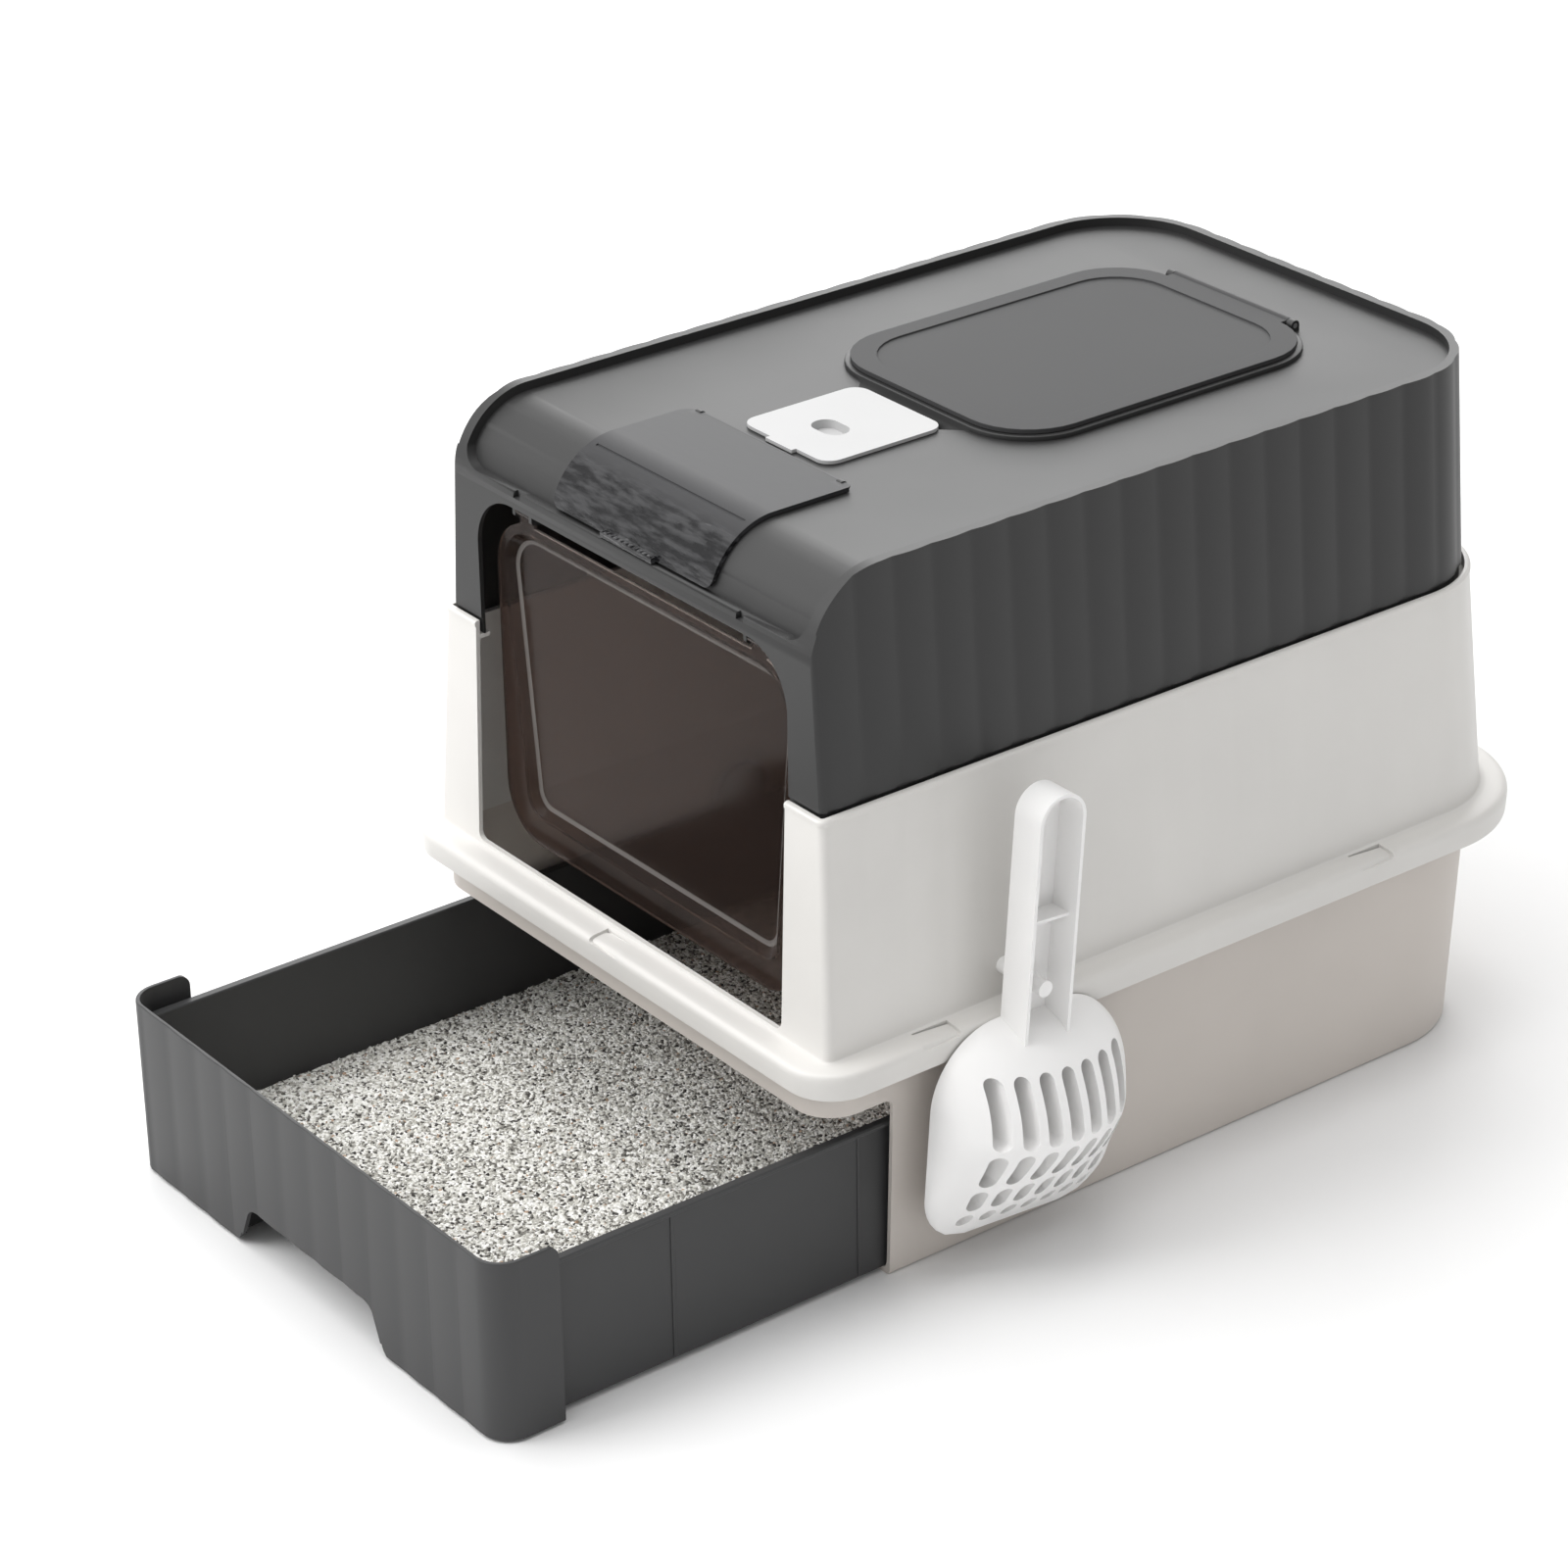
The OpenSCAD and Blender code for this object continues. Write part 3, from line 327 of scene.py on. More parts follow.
def moulded_plastic(name, colour, roughness, grain=0.05, patches=0.04, specular=0.5):
    """Injection-moulded plastic: slight cloudiness in the colour, a fine spark-eroded
    grain, and a roughness that wanders a little where the mould was polished."""
    finish, tree, shader = new_material(name)
    place = add_node(tree, "ShaderNodeTexCoord", {})["Object"]
    cloud = add_node(tree, "ShaderNodeTexNoise", {"Vector": place, "Scale": 7, "Detail": 3})["Fac"]
    shades = colour_ramp(tree, cloud, [(0.3, [c * (1 - patches) for c in colour]),
                                       (0.7, [min(c * (1 + patches), 1) for c in colour])])
    polish = add_node(tree, "ShaderNodeMapRange", {"Value": cloud, "To Min": roughness - 0.05,
                                                   "To Max": roughness + 0.05})["Result"]
    texture = add_node(tree, "ShaderNodeTexNoise", {"Vector": place, "Scale": 1400, "Detail": 2})["Fac"]
    bump = add_node(tree, "ShaderNodeBump", {"Strength": grain, "Distance": 0.0004,
                                             "Height": texture})["Normal"]
    feed(tree, shader, {"Base Color": shades, "Roughness": polish, "Normal": bump,
                        "Specular IOR Level": specular})
    return finish


def levels(plan, heights):
    """Levels of a wall from (height, drawn in by, flute weight). Without a weight it is 0."""
    return [(plan(z, t), z, weight[0] if weight else 0) for z, t, *weight in heights]


def base_plan(z, t):
    return drawn_in(between(BASE_LOW, BASE_TOP, z / BASE_TOP_Z), t)


def beam_plan(z, t):
    """Outline below the rim: the front beam stands forward under the body's rim."""
    plan = between(BASE_LOW, BASE_TOP, z / BASE_TOP_Z)
    plan["front"], plan["front_r"] = BEAM_FRONT, BEAM_R
    return drawn_in(plan, t)


base_levels = levels(beam_plan, [(0, 2.4), (0.7, 0.8), (2.4, 0), (128.4, 0), (129, 0.6)])
base_levels += levels(base_plan, [(129.2, 0), (132.6, 0), (133, 0.5 - BASE_LIP), (133.6, -BASE_LIP),
                                  (135.4, -BASE_LIP), (136, 0.6 - BASE_LIP), (136, 0), (139.2, 0), (139.8, 0.6),
                                  (139.8, 1.9), (139.2, BASE_WALL), (7, BASE_WALL), (4, BASE_WALL + 1.2),
                                  (2.5, BASE_WALL + 4.5)])
base_tray = moulded_wall("base_tray_shell", base_levels, (SIDE_STEPS, END_STEPS, CORNER_STEPS))
cut(base_tray, "bay", "X", [(BAY_FRONT, BAY_LOW), (BAY_BACK, BAY_LOW)]
    + arc(BAY_BACK - BAY_R, BAY_TOP - BAY_R, BAY_R, 0, 90) + [(BAY_FRONT, BAY_TOP)],
    *THROUGH)
cut(base_tray, "beam_hollow", "X", rect(*BEAM_HOLLOW), -BEAM_HOLLOW_HALF, BEAM_HOLLOW_HALF)
soften(base_tray, 0.5)
base_tray.data.materials.append(moulded_plastic("base_white", BASE_WHITE, 0.5))
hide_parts("base_tray")
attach(base_tray, "base")

# Body shell
# The white middle: a moulded shell with faint upright flutes on its sides and back, an open
# doorway in front, and a rounded rim that drops over the base's lip and holds by snap tongues.
BODY_WHITE = (0.695, 0.68, 0.655)
BODY_TOP = dict(width=328, front=-240, back=240, front_r=4, rear_r=62)
BODY_FOOT = dict(width=345, front=-244.5, back=248.5, front_r=4, rear_r=62)
RIM_EDGE = dict(width=376, front=-260, back=264, front_r=28, rear_r=76)
FOOT_RING = dict(width=340, front=-242, back=236.5, front_r=24.5, rear_r=61.5)
BODY_TOP_Z, BODY_FOOT_Z = 275, 147
BODY_WALL, LEDGE = 2.5, 9
DOORWAY_HALF, SILL_Z, SILL_R = 135, 146, 5
FLUTE_PITCH, BODY_FLUTE_DEPTH = 24.6, 0.32
RIM_FLARE = 15.5
TONGUE_LEN = 24.5
SLIT, SLIT_SHARE = 0.9, 0.27
WINDOW_DEPTH, WINDOW_LOW, WINDOW_TOP, WINDOW_REACH = 1.5, 139.4, 148, 20
FLUTE_STEPS = (198, 99, 40)
# Height and share of the flare, up the outside of the rim and then down its inside
RIM_SECTION = [(127.5, 0.925), (127.8, 0.955), (129, 0.97), (134, 0.99), (137.6, 1.0), (139.5, 0.988),
               (140.9, 0.95), (141.8, 0.885), (142.3, 0.79), (142.6, 0.64), (142.8, 0.45), (143.0, 0.27),
               (143.3, 0.14), (144.0, 0.06), (145.4, 0.02)]
RIM_INSIDE = [(140, 0.19), (138.6, 0.6), (135, 0.83), (127.5, 0.775)]
# Each snap tongue: the rim's edge, its turn about Z, its place, its free end and its slit's length
TONGUE_PLACES = [(188, angle, (0, y, 0), end, 23) for angle, end in ((0, 1), (180, -1)) for y in (-182, 121)]
TONGUE_PLACES += [(260, -90, (0.7, 0, 0), -1, 2.6), (264, 90, (0, 0, 0), 1, 23)]


def geometry_group(name, inputs):
    """Geometry nodes group, and what it is given: a geometry and the named inputs."""
    tree = bpy.data.node_groups.new(name, "GeometryNodeTree")
    for label, kind in [("Geometry", "Geometry")] + inputs:
        tree.interface.new_socket(label, in_out="INPUT", socket_type="NodeSocket" + kind)
    tree.interface.new_socket("Geometry", in_out="OUTPUT", socket_type="NodeSocketGeometry")
    return tree, add_node(tree, "NodeGroupInput", {})


def give_out(tree, geometry, material):
    """Ends a group: its instances made real and its material put on."""
    whole = add_node(tree, "GeometryNodeRealizeInstances", {"Geometry": geometry})["Geometry"]
    painted = add_node(tree, "GeometryNodeSetMaterial", {"Geometry": whole, "Material": material})["Geometry"]
    add_node(tree, "NodeGroupOutput", {"Geometry": painted})
    return tree


def flute_maker():
    """Geometry nodes that press upright flutes into a wall: rounded ribs of one pitch
    that meet in narrow valleys, along the wall's own run."""
    tree, given = geometry_group("upright_flutes", [("Flute pitch", "Float"), ("Flute depth", "Float"),
                                                    ("Plastic", "Material")])

    def named(kind, name):
        return add_node(tree, "GeometryNodeInputNamedAttribute", {"Name": name}, data_type=kind)["Attribute"]

    def maths(operation, a, b=0.0):
        return add_node(tree, "ShaderNodeMath", {0: a, 1: b}, operation=operation)[0]

    share = maths("FRACT", maths("DIVIDE", named("FLOAT", "run"), given["Flute pitch"]))
    off_middle = maths("SUBTRACT", maths("MULTIPLY", share, 2.0), 1.0)
    sunk = maths("MULTIPLY", maths("MULTIPLY", off_middle, off_middle), named("FLOAT", "fluted"))
    inward = maths("MULTIPLY", maths("MULTIPLY", sunk, given["Flute depth"]), -1.0)
    move = add_node(tree, "ShaderNodeVectorMath", {0: named("FLOAT_VECTOR", "outward"), "Scale": inward},
                    operation="SCALE")["Vector"]
    moved = add_node(tree, "GeometryNodeSetPosition", {"Geometry": given["Geometry"], "Offset": move})
    return give_out(tree, moved["Geometry"], given["Plastic"])


UPRIGHT_FLUTES = flute_maker()


def set_inputs(modifier, **values):
    """Gives a geometry nodes modifier its inputs by their names."""
    for item in modifier.node_group.interface.items_tree:
        if item.item_type == "SOCKET" and item.in_out == "INPUT" and item.name in values:
            modifier[item.identifier] = values[item.name]


def flute(piece, pitch, depth, plastic):
    press = piece.modifiers.new("flutes", "NODES")
    press.node_group = UPRIGHT_FLUTES
    set_inputs(press, **{"Flute pitch": pitch * MM, "Flute depth": depth * MM, "Plastic": plastic})
    return settle(piece)


def body_plan(z, t):
    return drawn_in(between(BODY_FOOT, BODY_TOP, (z - BODY_FOOT_Z) / (BODY_TOP_Z - BODY_FOOT_Z)), t)


def rim_plan(share):
    return between(BODY_FOOT, RIM_EDGE, share)


def low_corners(half, low, r):
    """The two rounded lower corners of an outline this wide."""
    return arc(-half + r, low + r, r, 180, 270) + arc(half - r, low + r, r, 270, 360)


body_levels = [(rim_plan(share), z, 0) for z, share in RIM_SECTION]
body_levels += levels(body_plan, [(154, 0), (160, 0, 1), (270, 0, 1), (271.3, 0, 0.4), (271.7, -0.6),
                                  (273.7, -0.7), (274.6, 0), (275, 1.1), (274.8, BODY_WALL), (266.6, BODY_WALL),
                                  (266.6, LEDGE), (264.1, LEDGE), (264.1, BODY_WALL), (143.4, BODY_WALL)])
body_levels += [(FOOT_RING, 142.6, 0), (FOOT_RING, 140, 0)]
body_levels += [(rim_plan(share), z, 0) for z, share in RIM_INSIDE]
fluted = (FLUTE_STEPS[2], 3 * FLUTE_STEPS[2] + 2 * FLUTE_STEPS[0] + FLUTE_STEPS[1])
body_shell = moulded_wall("body_walls", body_levels, FLUTE_STEPS, ring=True, flutes=fluted)
flute(body_shell, FLUTE_PITCH, BODY_FLUTE_DEPTH, moulded_plastic("body_white", BODY_WHITE, 0.42))
cut(body_shell, "doorway", "Y", low_corners(DOORWAY_HALF, SILL_Z, SILL_R)
    + [(DOORWAY_HALF, 300), (-DOORWAY_HALF, 300)], -270, -226)


def eased(points, r, steps=6):
    """Outline with each corner rounded by r."""
    found = []
    for i, corner in enumerate(points):
        c, a, b = Vector(corner), Vector(points[i - 1]), Vector(points[(i + 1) % len(points)])
        u, v = (a - c).normalized(), (b - c).normalized()
        bend = math.acos(max(-1, min(1, u.dot(v))))
        reach = r / math.tan(bend / 2)
        start, end = c + u * reach, c + v * reach
        middle = c + (u + v).normalized() * (r / math.sin(bend / 2))
        for k in range(steps + 1):
            p = start.lerp(end, k / steps) - middle
            found.append(tuple(middle + p.normalized() * r))
    return found


def tongue_window(edge, end):
    """Shallow window round one snap tongue, for a rim whose edge faces +X: it deepens
    toward the tongue's free end, at +Y or -Y."""
    face = [(edge + (share - 1) * RIM_FLARE - WINDOW_DEPTH, z - WINDOW_DEPTH) for z, share in RIM_SECTION
            if z > 131 and share > SLIT_SHARE - 0.01]
    face += [(face[-1][0], 150), (edge + 8, 150), (edge + 8, face[0][1])]
    block = bar_along("window", "Y", face, -WINDOW_REACH, WINDOW_REACH)
    half = TONGUE_LEN / 2
    for v in block.data.vertices:
        rise = WINDOW_DEPTH * (half - end * v.co.y / MM) / TONGUE_LEN * 1.15 * MM
        v.co.x += rise * 0.6
        v.co.z += rise
    outline = eased(rect(-half, half, WINDOW_LOW, WINDOW_TOP), 1.8, 5)
    return keep(block, "outline", "X", outline, edge - 20, edge + 10)


def tongue_slit(edge, end, slit_len):
    """Slit behind one snap tongue, cut through the rim from the tongue's free end."""
    inner = edge - (1 - SLIT_SHARE) * RIM_FLARE - WINDOW_DEPTH
    near, far = sorted((end * (TONGUE_LEN / 2 - slit_len), end * TONGUE_LEN / 2))
    return bar_along("slit", "Z", rect(inner - 0.1, inner + SLIT, near, far), 136, 149)


for edge, angle, shift, end, slit_len in TONGUE_PLACES:
    there = Matrix.Translation(Vector(shift) * MM) @ Matrix.Rotation(math.radians(angle), 4, "Z")
    for cutter in (tongue_window(edge, end), tongue_slit(edge, end, slit_len)):
        cutter.data.transform(there)
        carve(body_shell, cutter)
soften(body_shell, 0.55)
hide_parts("body_shell")
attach(body_shell, "body")

# Top cover
# The dark grey lid: a moulded polypropylene hood with upright flutes on its sides and
# back, a raised edge round its sunk roof, and an arched front with a small ledge.
COVER_GREY = (0.015, 0.015, 0.015)
COVER_LOW = dict(width=323, front=-237.25, back=237.25, front_r=4, rear_r=62)
COVER_TOP = dict(width=304, front=-237.5, back=235.5, front_r=4, rear_r=62)
COVER_LOW_Z, COVER_TOP_Z, COVER_WALL = 266.8, 397, 2.5
COVER_FRONT = -236.95
SHOULDER_Y, SHOULDER_Z = -192.95, 353
SHOULDER_R, RECESS_R, UNDER_R = 44, 39, 36.5
RECESS_HALF, RECESS_LOW_R = 146.5, 14
LINTEL_Z = 361.5
ARCH_HALF, ARCH_Z, ARCH_R = 134, 352, 32
COVER_FLUTE_DEPTH = 0.95
HATCH_Y, HATCH_W, HATCH_LEN, HATCH_R = 62, 164, 216, 38
COLLAR_EDGE, COLLAR_LOW, COLLAR_TOP = 3, 390.75, 394.6
HATCH_HOLE = (140, 192, HATCH_Y, 26)
FLAP_HINGE, HATCH_HINGE, DOOR_HINGE = (-144, 392.9), (176, 395.2), (-226.95, 347)
LUG_FOOT = 390.8
DOOR_EAR_X, DOOR_EAR_SET, DOOR_EAR_R, DOOR_EAR_THICK = 100, 7.45, 5, 2.5
PLATE_Y = -96
CUP_HOLE, CUP_SEAT = (56.6, 60.6, PLATE_Y, 5), (66.6, 70.6, PLATE_Y, 5)
FLAP_WINDOW = (-54, 54, -226, -153)
NOTCH_X, NOTCH_HALF = 96, 3
ABOVE_ROOF = 400


def cover_plan(z, t):
    share = (z - COVER_LOW_Z) / (COVER_TOP_Z - COVER_LOW_Z)
    return drawn_in(between(COVER_LOW, COVER_TOP, share), t)


def roof_side(r, low, back=260):
    """Roof seen from the side, with its rounded front shoulder."""
    return [(back, low), (back, SHOULDER_Z + r)] + arc(SHOULDER_Y, SHOULDER_Z, r, 90, 180, 28) \
        + [(SHOULDER_Y - r, low)]


def top_corners(half, top, r, steps=12):
    """The two rounded upper corners of an outline this wide."""
    return arc(half - r, top - r, r, 0, 90, steps) + arc(-half + r, top - r, r, 90, 180, steps)


def oblong(width, length, y, r, steps=14):
    half, front, back = width / 2, y - length / 2, y + length / 2
    return arc(half - r, front + r, r, 270, 360, steps) + arc(half - r, back - r, r, 0, 90, steps) \
        + arc(-half + r, back - r, r, 90, 180, steps) + arc(-half + r, front + r, r, 180, 270, steps)


cover_plastic = moulded_plastic("cover_grey", COVER_GREY, 0.48, patches=0.05, specular=0.56)
cover_levels = levels(cover_plan, [(266.8, 1.7), (269, 1.4), (275.2, 1.3), (276.4, 0.1, 0.8), (278, 0, 1),
                                   (330, 0, 1), (392, 0, 1), (410, 0, 1)])
top_cover = moulded_wall("cover_hood", cover_levels, FLUTE_STEPS, flutes=fluted)
flute(top_cover, FLUTE_PITCH, COVER_FLUTE_DEPTH, cover_plastic)
keep(top_cover, "roof", "X", roof_side(SHOULDER_R, 260), *THROUGH)
hollow = moulded_wall("hollow", levels(cover_plan, [(260, COVER_WALL), (ABOVE_ROOF, COVER_WALL)]), (2, 2, 14))
inner_front = COVER_FRONT + COVER_WALL
keep(hollow, "under", "X", [(260, 255), (260, SHOULDER_Z + UNDER_R)]
     + arc(SHOULDER_Y, SHOULDER_Z, UNDER_R, 90, 180, 24)
     + [(inner_front, SHOULDER_Z), (inner_front, 255)], *THROUGH)
carve(top_cover, hollow)
recess_plan = dict(width=292, front=-300, back=229.5, front_r=3, rear_r=54)
recess = moulded_wall("recess", [(recess_plan, LINTEL_Z, 0), (recess_plan, 405, 0)], (2, 2, 20))
cut(recess, "roof_floor", "X", roof_side(RECESS_R, 250), *THROUGH)
keep(recess, "recess_front", "Y", [(RECESS_HALF, 420), (-RECESS_HALF, 420)]
     + low_corners(RECESS_HALF, LINTEL_Z, RECESS_LOW_R), -320, 240)
carve(top_cover, recess)
cut(top_cover, "arch", "Y", [(-ARCH_HALF, 260), (ARCH_HALF, 260)]
    + top_corners(ARCH_HALF, ARCH_Z, ARCH_R, 16), -245, -232.45)
soften(top_cover, 1.1, angle=40, segments=3)
collar = bar_along("collar", "Z", oblong(HATCH_W + 2 * COLLAR_EDGE, HATCH_LEN + 2 * COLLAR_EDGE, HATCH_Y,
                                         HATCH_R + COLLAR_EDGE), COLLAR_LOW, COLLAR_TOP)
carve(top_cover, soften(collar, 0.8), "UNION")
for side in (-1, 1):
    for x, w, (y, z), r in ((59.5, 4, FLAP_HINGE, 2.5), (48.6, 4.6, HATCH_HINGE, 3)):
        weld(top_cover, "lug", "X", arc(y, z, r, 0, 180) + [(y - r, LUG_FOOT), (y + r, LUG_FOOT)],
             side * x - w / 2, side * x + w / 2)
    for e in (-1, 1):
        x = side * DOOR_EAR_X + e * DOOR_EAR_SET
        y, z = DOOR_HINGE
        ear = bar_along("ear", "X", arc(y, z, DOOR_EAR_R, 180, 360) + [(y + 5, z + 25), (y - 5, z + 19)],
                        x - DOOR_EAR_THICK / 2, x + DOOR_EAR_THICK / 2)
        keep(ear, "ear_limit", "X", roof_side(38, 300), *THROUGH)
        carve(top_cover, ear, "UNION")
openings = [("hole", "Z", oblong(*HATCH_HOLE), 380, ABOVE_ROOF)]
for (y, z), r, half in ((HATCH_HINGE, 3.3, 46.3), (HATCH_HINGE, 1.53, 52), (FLAP_HINGE, 2.8, 57.4),
                        (FLAP_HINGE, 1.23, 63), (DOOR_HINGE, 2.03, 112)):
    openings.append(("bore", "X", disc(y, z, r), -half, half))
openings += [("window", "Z", rect(*FLAP_WINDOW), LINTEL_Z - 4, ABOVE_ROOF),
             ("cup_hole", "Z", oblong(*CUP_HOLE), 380, ABOVE_ROOF),
             ("cup_seat", "Z", oblong(*CUP_SEAT), LUG_FOOT, ABOVE_ROOF)]
for x in (-NOTCH_X, NOTCH_X):
    openings.append(("notch", "Z", rect(x - NOTCH_HALF, x + NOTCH_HALF, -250, -233.4), 358, 366))
for opening in openings:
    cut(top_cover, *opening)
top_cover.data.shade_smooth()
top_cover.data.set_sharp_from_angle(angle=math.radians(32))
top_cover.data.materials.clear()
top_cover.data.materials.append(cover_plastic)
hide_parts("top_cover")
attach(top_cover, "cover")

# Entry door
# The smoked see-through flap that swings both ways in the doorway: one clear acrylic
# moulding whose middle is pressed inward, with highlights painted on its edges, on two steel pins.
# The second colour is a painted highlight for the door's edges and the bands round its panel
DOOR_SMOKE, DOOR_EDGE_PAINTED_HIGHLIGHT = (0.29, 0.21, 0.18), (0.3, 0.275, 0.26)
DOOR_FACE = -228.15
PANEL_TOP_HALF, PANEL_LOW_HALF, PANEL_TOP_Z, PANEL_LOW_Z = 123, 110, 333, 167
PANEL_R, PANEL_LOW_R, PANEL_SLOPE, PANEL_DEEP = 25, 13, 6.5, 5.6
STEEL_GREY, PIN_SHARE = (0.62, 0.62, 0.63), 0.84


def tidy_copy(node, name):
    """Copy of a CAD node's mesh with its doubles merged and its flat faces joined."""
    source = frame["nodes"][node]
    mesh = source.data.copy()
    mesh.name = name
    mesh.materials.clear()
    mesh.transform(source.matrix_world)
    work = bmesh.new()
    work.from_mesh(mesh)
    bmesh.ops.remove_doubles(work, verts=work.verts, dist=0.00001)
    bmesh.ops.join_triangles(work, faces=work.faces, angle_face_threshold=math.radians(1),
                             angle_shape_threshold=math.radians(180))
    work.to_mesh(mesh)
    work.free()
    return piece_from(name, mesh)


def clear_plastic(name, colour, roughness, specular, clear=0.95):
    finish = moulded_plastic(name, colour, roughness, grain=0.01, specular=specular)
    tree = finish.node_tree
    feed(tree, tree.nodes["Principled BSDF"], {"Transmission Weight": clear, "IOR": 1.15})
    return finish


def panel_outline(t):
    """Outline of the pressed panel, drawn in by t: wider at the top, round at its upper corners."""
    return top_corners(PANEL_TOP_HALF - t, PANEL_TOP_Z - t, PANEL_R - t) \
        + low_corners(PANEL_LOW_HALF - t, PANEL_LOW_Z + t, PANEL_LOW_R - t / 2)


def pressed(name, rings):
    """Closed shape through panel outlines, each drawn in by t at depth y from the door's face."""
    return skin(name, [[(x, DOOR_FACE + y, z) for x, z in panel_outline(t)] for t, y in rings])


door = tidy_copy("entry_door", "entry_door_flap")
carve(door, pressed("panel_back", [(-1.4, 1.2), (-1.4, 2.5), (PANEL_SLOPE - 1.4, PANEL_DEEP + 2.4)]), "UNION")
carve(door, pressed("panel_hollow", [(-0.7, -4), (-0.7, 0), (PANEL_SLOPE - 2.6, PANEL_DEEP - 0.7),
                                     (PANEL_SLOPE, PANEL_DEEP)]))
soften(door, 1.05, segments=3)
door.data.materials.append(clear_plastic("door_smoke", DOOR_SMOKE, 0.1, 0.1))
# The edges and the sloping bands round the panel get a lighter, less clear finish: a painted highlight where they
# would catch the light
door.data.materials.append(clear_plastic("door_edge_painted_highlight", DOOR_EDGE_PAINTED_HIGHLIGHT, 0.25, 0.3, clear=0.6))
flat_way = max(door.data.polygons, key=lambda face: face.area).normal.copy()
for face in door.data.polygons:
    facing = abs(face.normal.dot(flat_way))
    face.material_index = 1 if facing < 0.45 or 0.93 < facing < 0.985 else 0
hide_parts("entry_door")
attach(door, "door")

steel = moulded_plastic("pin_steel", STEEL_GREY, 0.3)
steel.node_tree.nodes["Principled BSDF"].inputs["Metallic"].default_value = 1.0
frame["nodes"]["hatch_hinge_pin"].data.materials[0] = steel
for side in ("left", "right"):
    pin = tidy_copy("door_pin_" + side, "door_pin_rod_" + side)
    for axis in (1, 2):
        places = [v.co[axis] for v in pin.data.vertices]
        middle = (max(places) + min(places)) / 2
        for v in pin.data.vertices:
            v.co[axis] = middle + (v.co[axis] - middle) * PIN_SHARE
    soften(pin, 0.2)
    pin.data.materials.append(steel)
    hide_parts("door_pin_" + side)
    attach(pin, "cover")

# Litter drawer
# The dark grey drawer: one moulding with a fluted front, a finger cut-out under it, short
# wings at its ends and an open tray behind. It slides on the base's floor.
DRAWER_GREY = (0.037, 0.037, 0.038)
DRAWER_FRONT = -449.5
TRAY = dict(width=330, front=-449, back=19, front_r=12, rear_r=58)
TRAY_HALF = 165
WING_HALF, WING_BACK, WING_R, WING_TOP = 173, -410.5, 16.5, 104.5
WING_CORNER_R = 7
CORNER_PARTS, FRONT_PARTS = 10, 96
DRAWER_FLUTE_PITCH, DRAWER_FLUTE_DEPTH = 27, 0.55
RIB_PLACES, RIB_TOP, RIB_OUT = (-337.5, -219.5), 89.6, 0.6
EAR_FRONT, EAR_BACK, EAR_LOW, EAR_TOP, EAR_R = -61, -25, 90, 116, 16
FINGER_POCKET, POCKET_HALF = (-448.5, -424.5, 3, 31.5), 78.5
POCKET_HOLLOW, HOLLOW_HALF = (-447, -427, -9, 29), 76
FINGER_CUT = [(-74, -20), (74, -20), (66.5, 5), (57, 27), (-57, 27), (-66.5, 5)]
FRONT_CUT = (-455, -446.2)


def tray_plan(z, t):
    """Tray outline, the same at every height. Its front never passes the front panel."""
    plan = drawn_in(TRAY, t)
    plan["front"] = max(plan["front"], TRAY["front"])
    return plan


def wing_points(z, t, thick=2.5):
    """Front panel and wings seen from above: out along the right wing and the front,
    back along the inside. t pulls both faces in, where an edge is rounded."""
    def leg(inset):
        half, front, r = WING_HALF - inset, DRAWER_FRONT + inset, WING_R - inset
        turns = [math.radians(90 * i / CORNER_PARTS) for i in range(CORNER_PARTS + 1)]
        path = [(-half, WING_BACK - t, -1, 0)]
        path += [(-half + r - r * math.cos(a), front + r - r * math.sin(a), -math.cos(a), -math.sin(a))
                 for a in turns]
        path += [(-half + r + (2 * half - 2 * r) * i / FRONT_PARTS, front, 0, -1)
                 for i in range(1, FRONT_PARTS)]
        path += [(half - r + r * math.sin(a), front + r - r * math.cos(a), math.sin(a), -math.cos(a))
                 for a in turns]
        return path + [(half, WING_BACK - t, 1, 0)]
    return leg(t) + leg(thick - t)[::-1]


def spans(near, far):
    """The same stretch across the left side and the right side."""
    return (-far, -near), (near, far)


drawer_plastic = moulded_plastic("drawer_grey", DRAWER_GREY, 0.48, patches=0.06)
tray_levels = levels(tray_plan, [(2.7, 2.2), (3.3, 0.7), (5, 0), (88.6, 0), (89.2, -2.5), (89.6, -2.9),
                                 (91.2, -2.9), (92, -2.1), (92, 1.9), (91.3, 2.5), (9, 2.5), (6.3, 3.4),
                                 (5.2, 6)])
drawer = moulded_wall("litter_drawer_tray", tray_levels, (SIDE_STEPS, END_STEPS, CORNER_STEPS))
wing_levels = levels(wing_points, [(1.5, 0.5, 0.6), (2.1, 0, 1), (103.7, 0, 1), (104.3, 0.3, 1),
                                   (104.5, 0.7, 1)])
front_panel = moulded_wall("front_panel", wing_levels, None,
                           flutes=(CORNER_PARTS + 1, CORNER_PARTS + 1 + FRONT_PARTS))
flute(front_panel, DRAWER_FLUTE_PITCH, DRAWER_FLUTE_DEPTH, drawer_plastic)
wing_y, wing_z = WING_BACK - WING_CORNER_R, WING_TOP - WING_CORNER_R
for span in spans(TRAY_HALF, TRAY_HALF + 15):
    cut(front_panel, "wing_corner", "X", arc(wing_y, wing_z, WING_CORNER_R, 0, 90)
        + [(wing_y, WING_TOP + 3), (WING_BACK + 3, WING_TOP + 3), (WING_BACK + 3, wing_z)],
        *span)
carve(drawer, front_panel, "UNION")
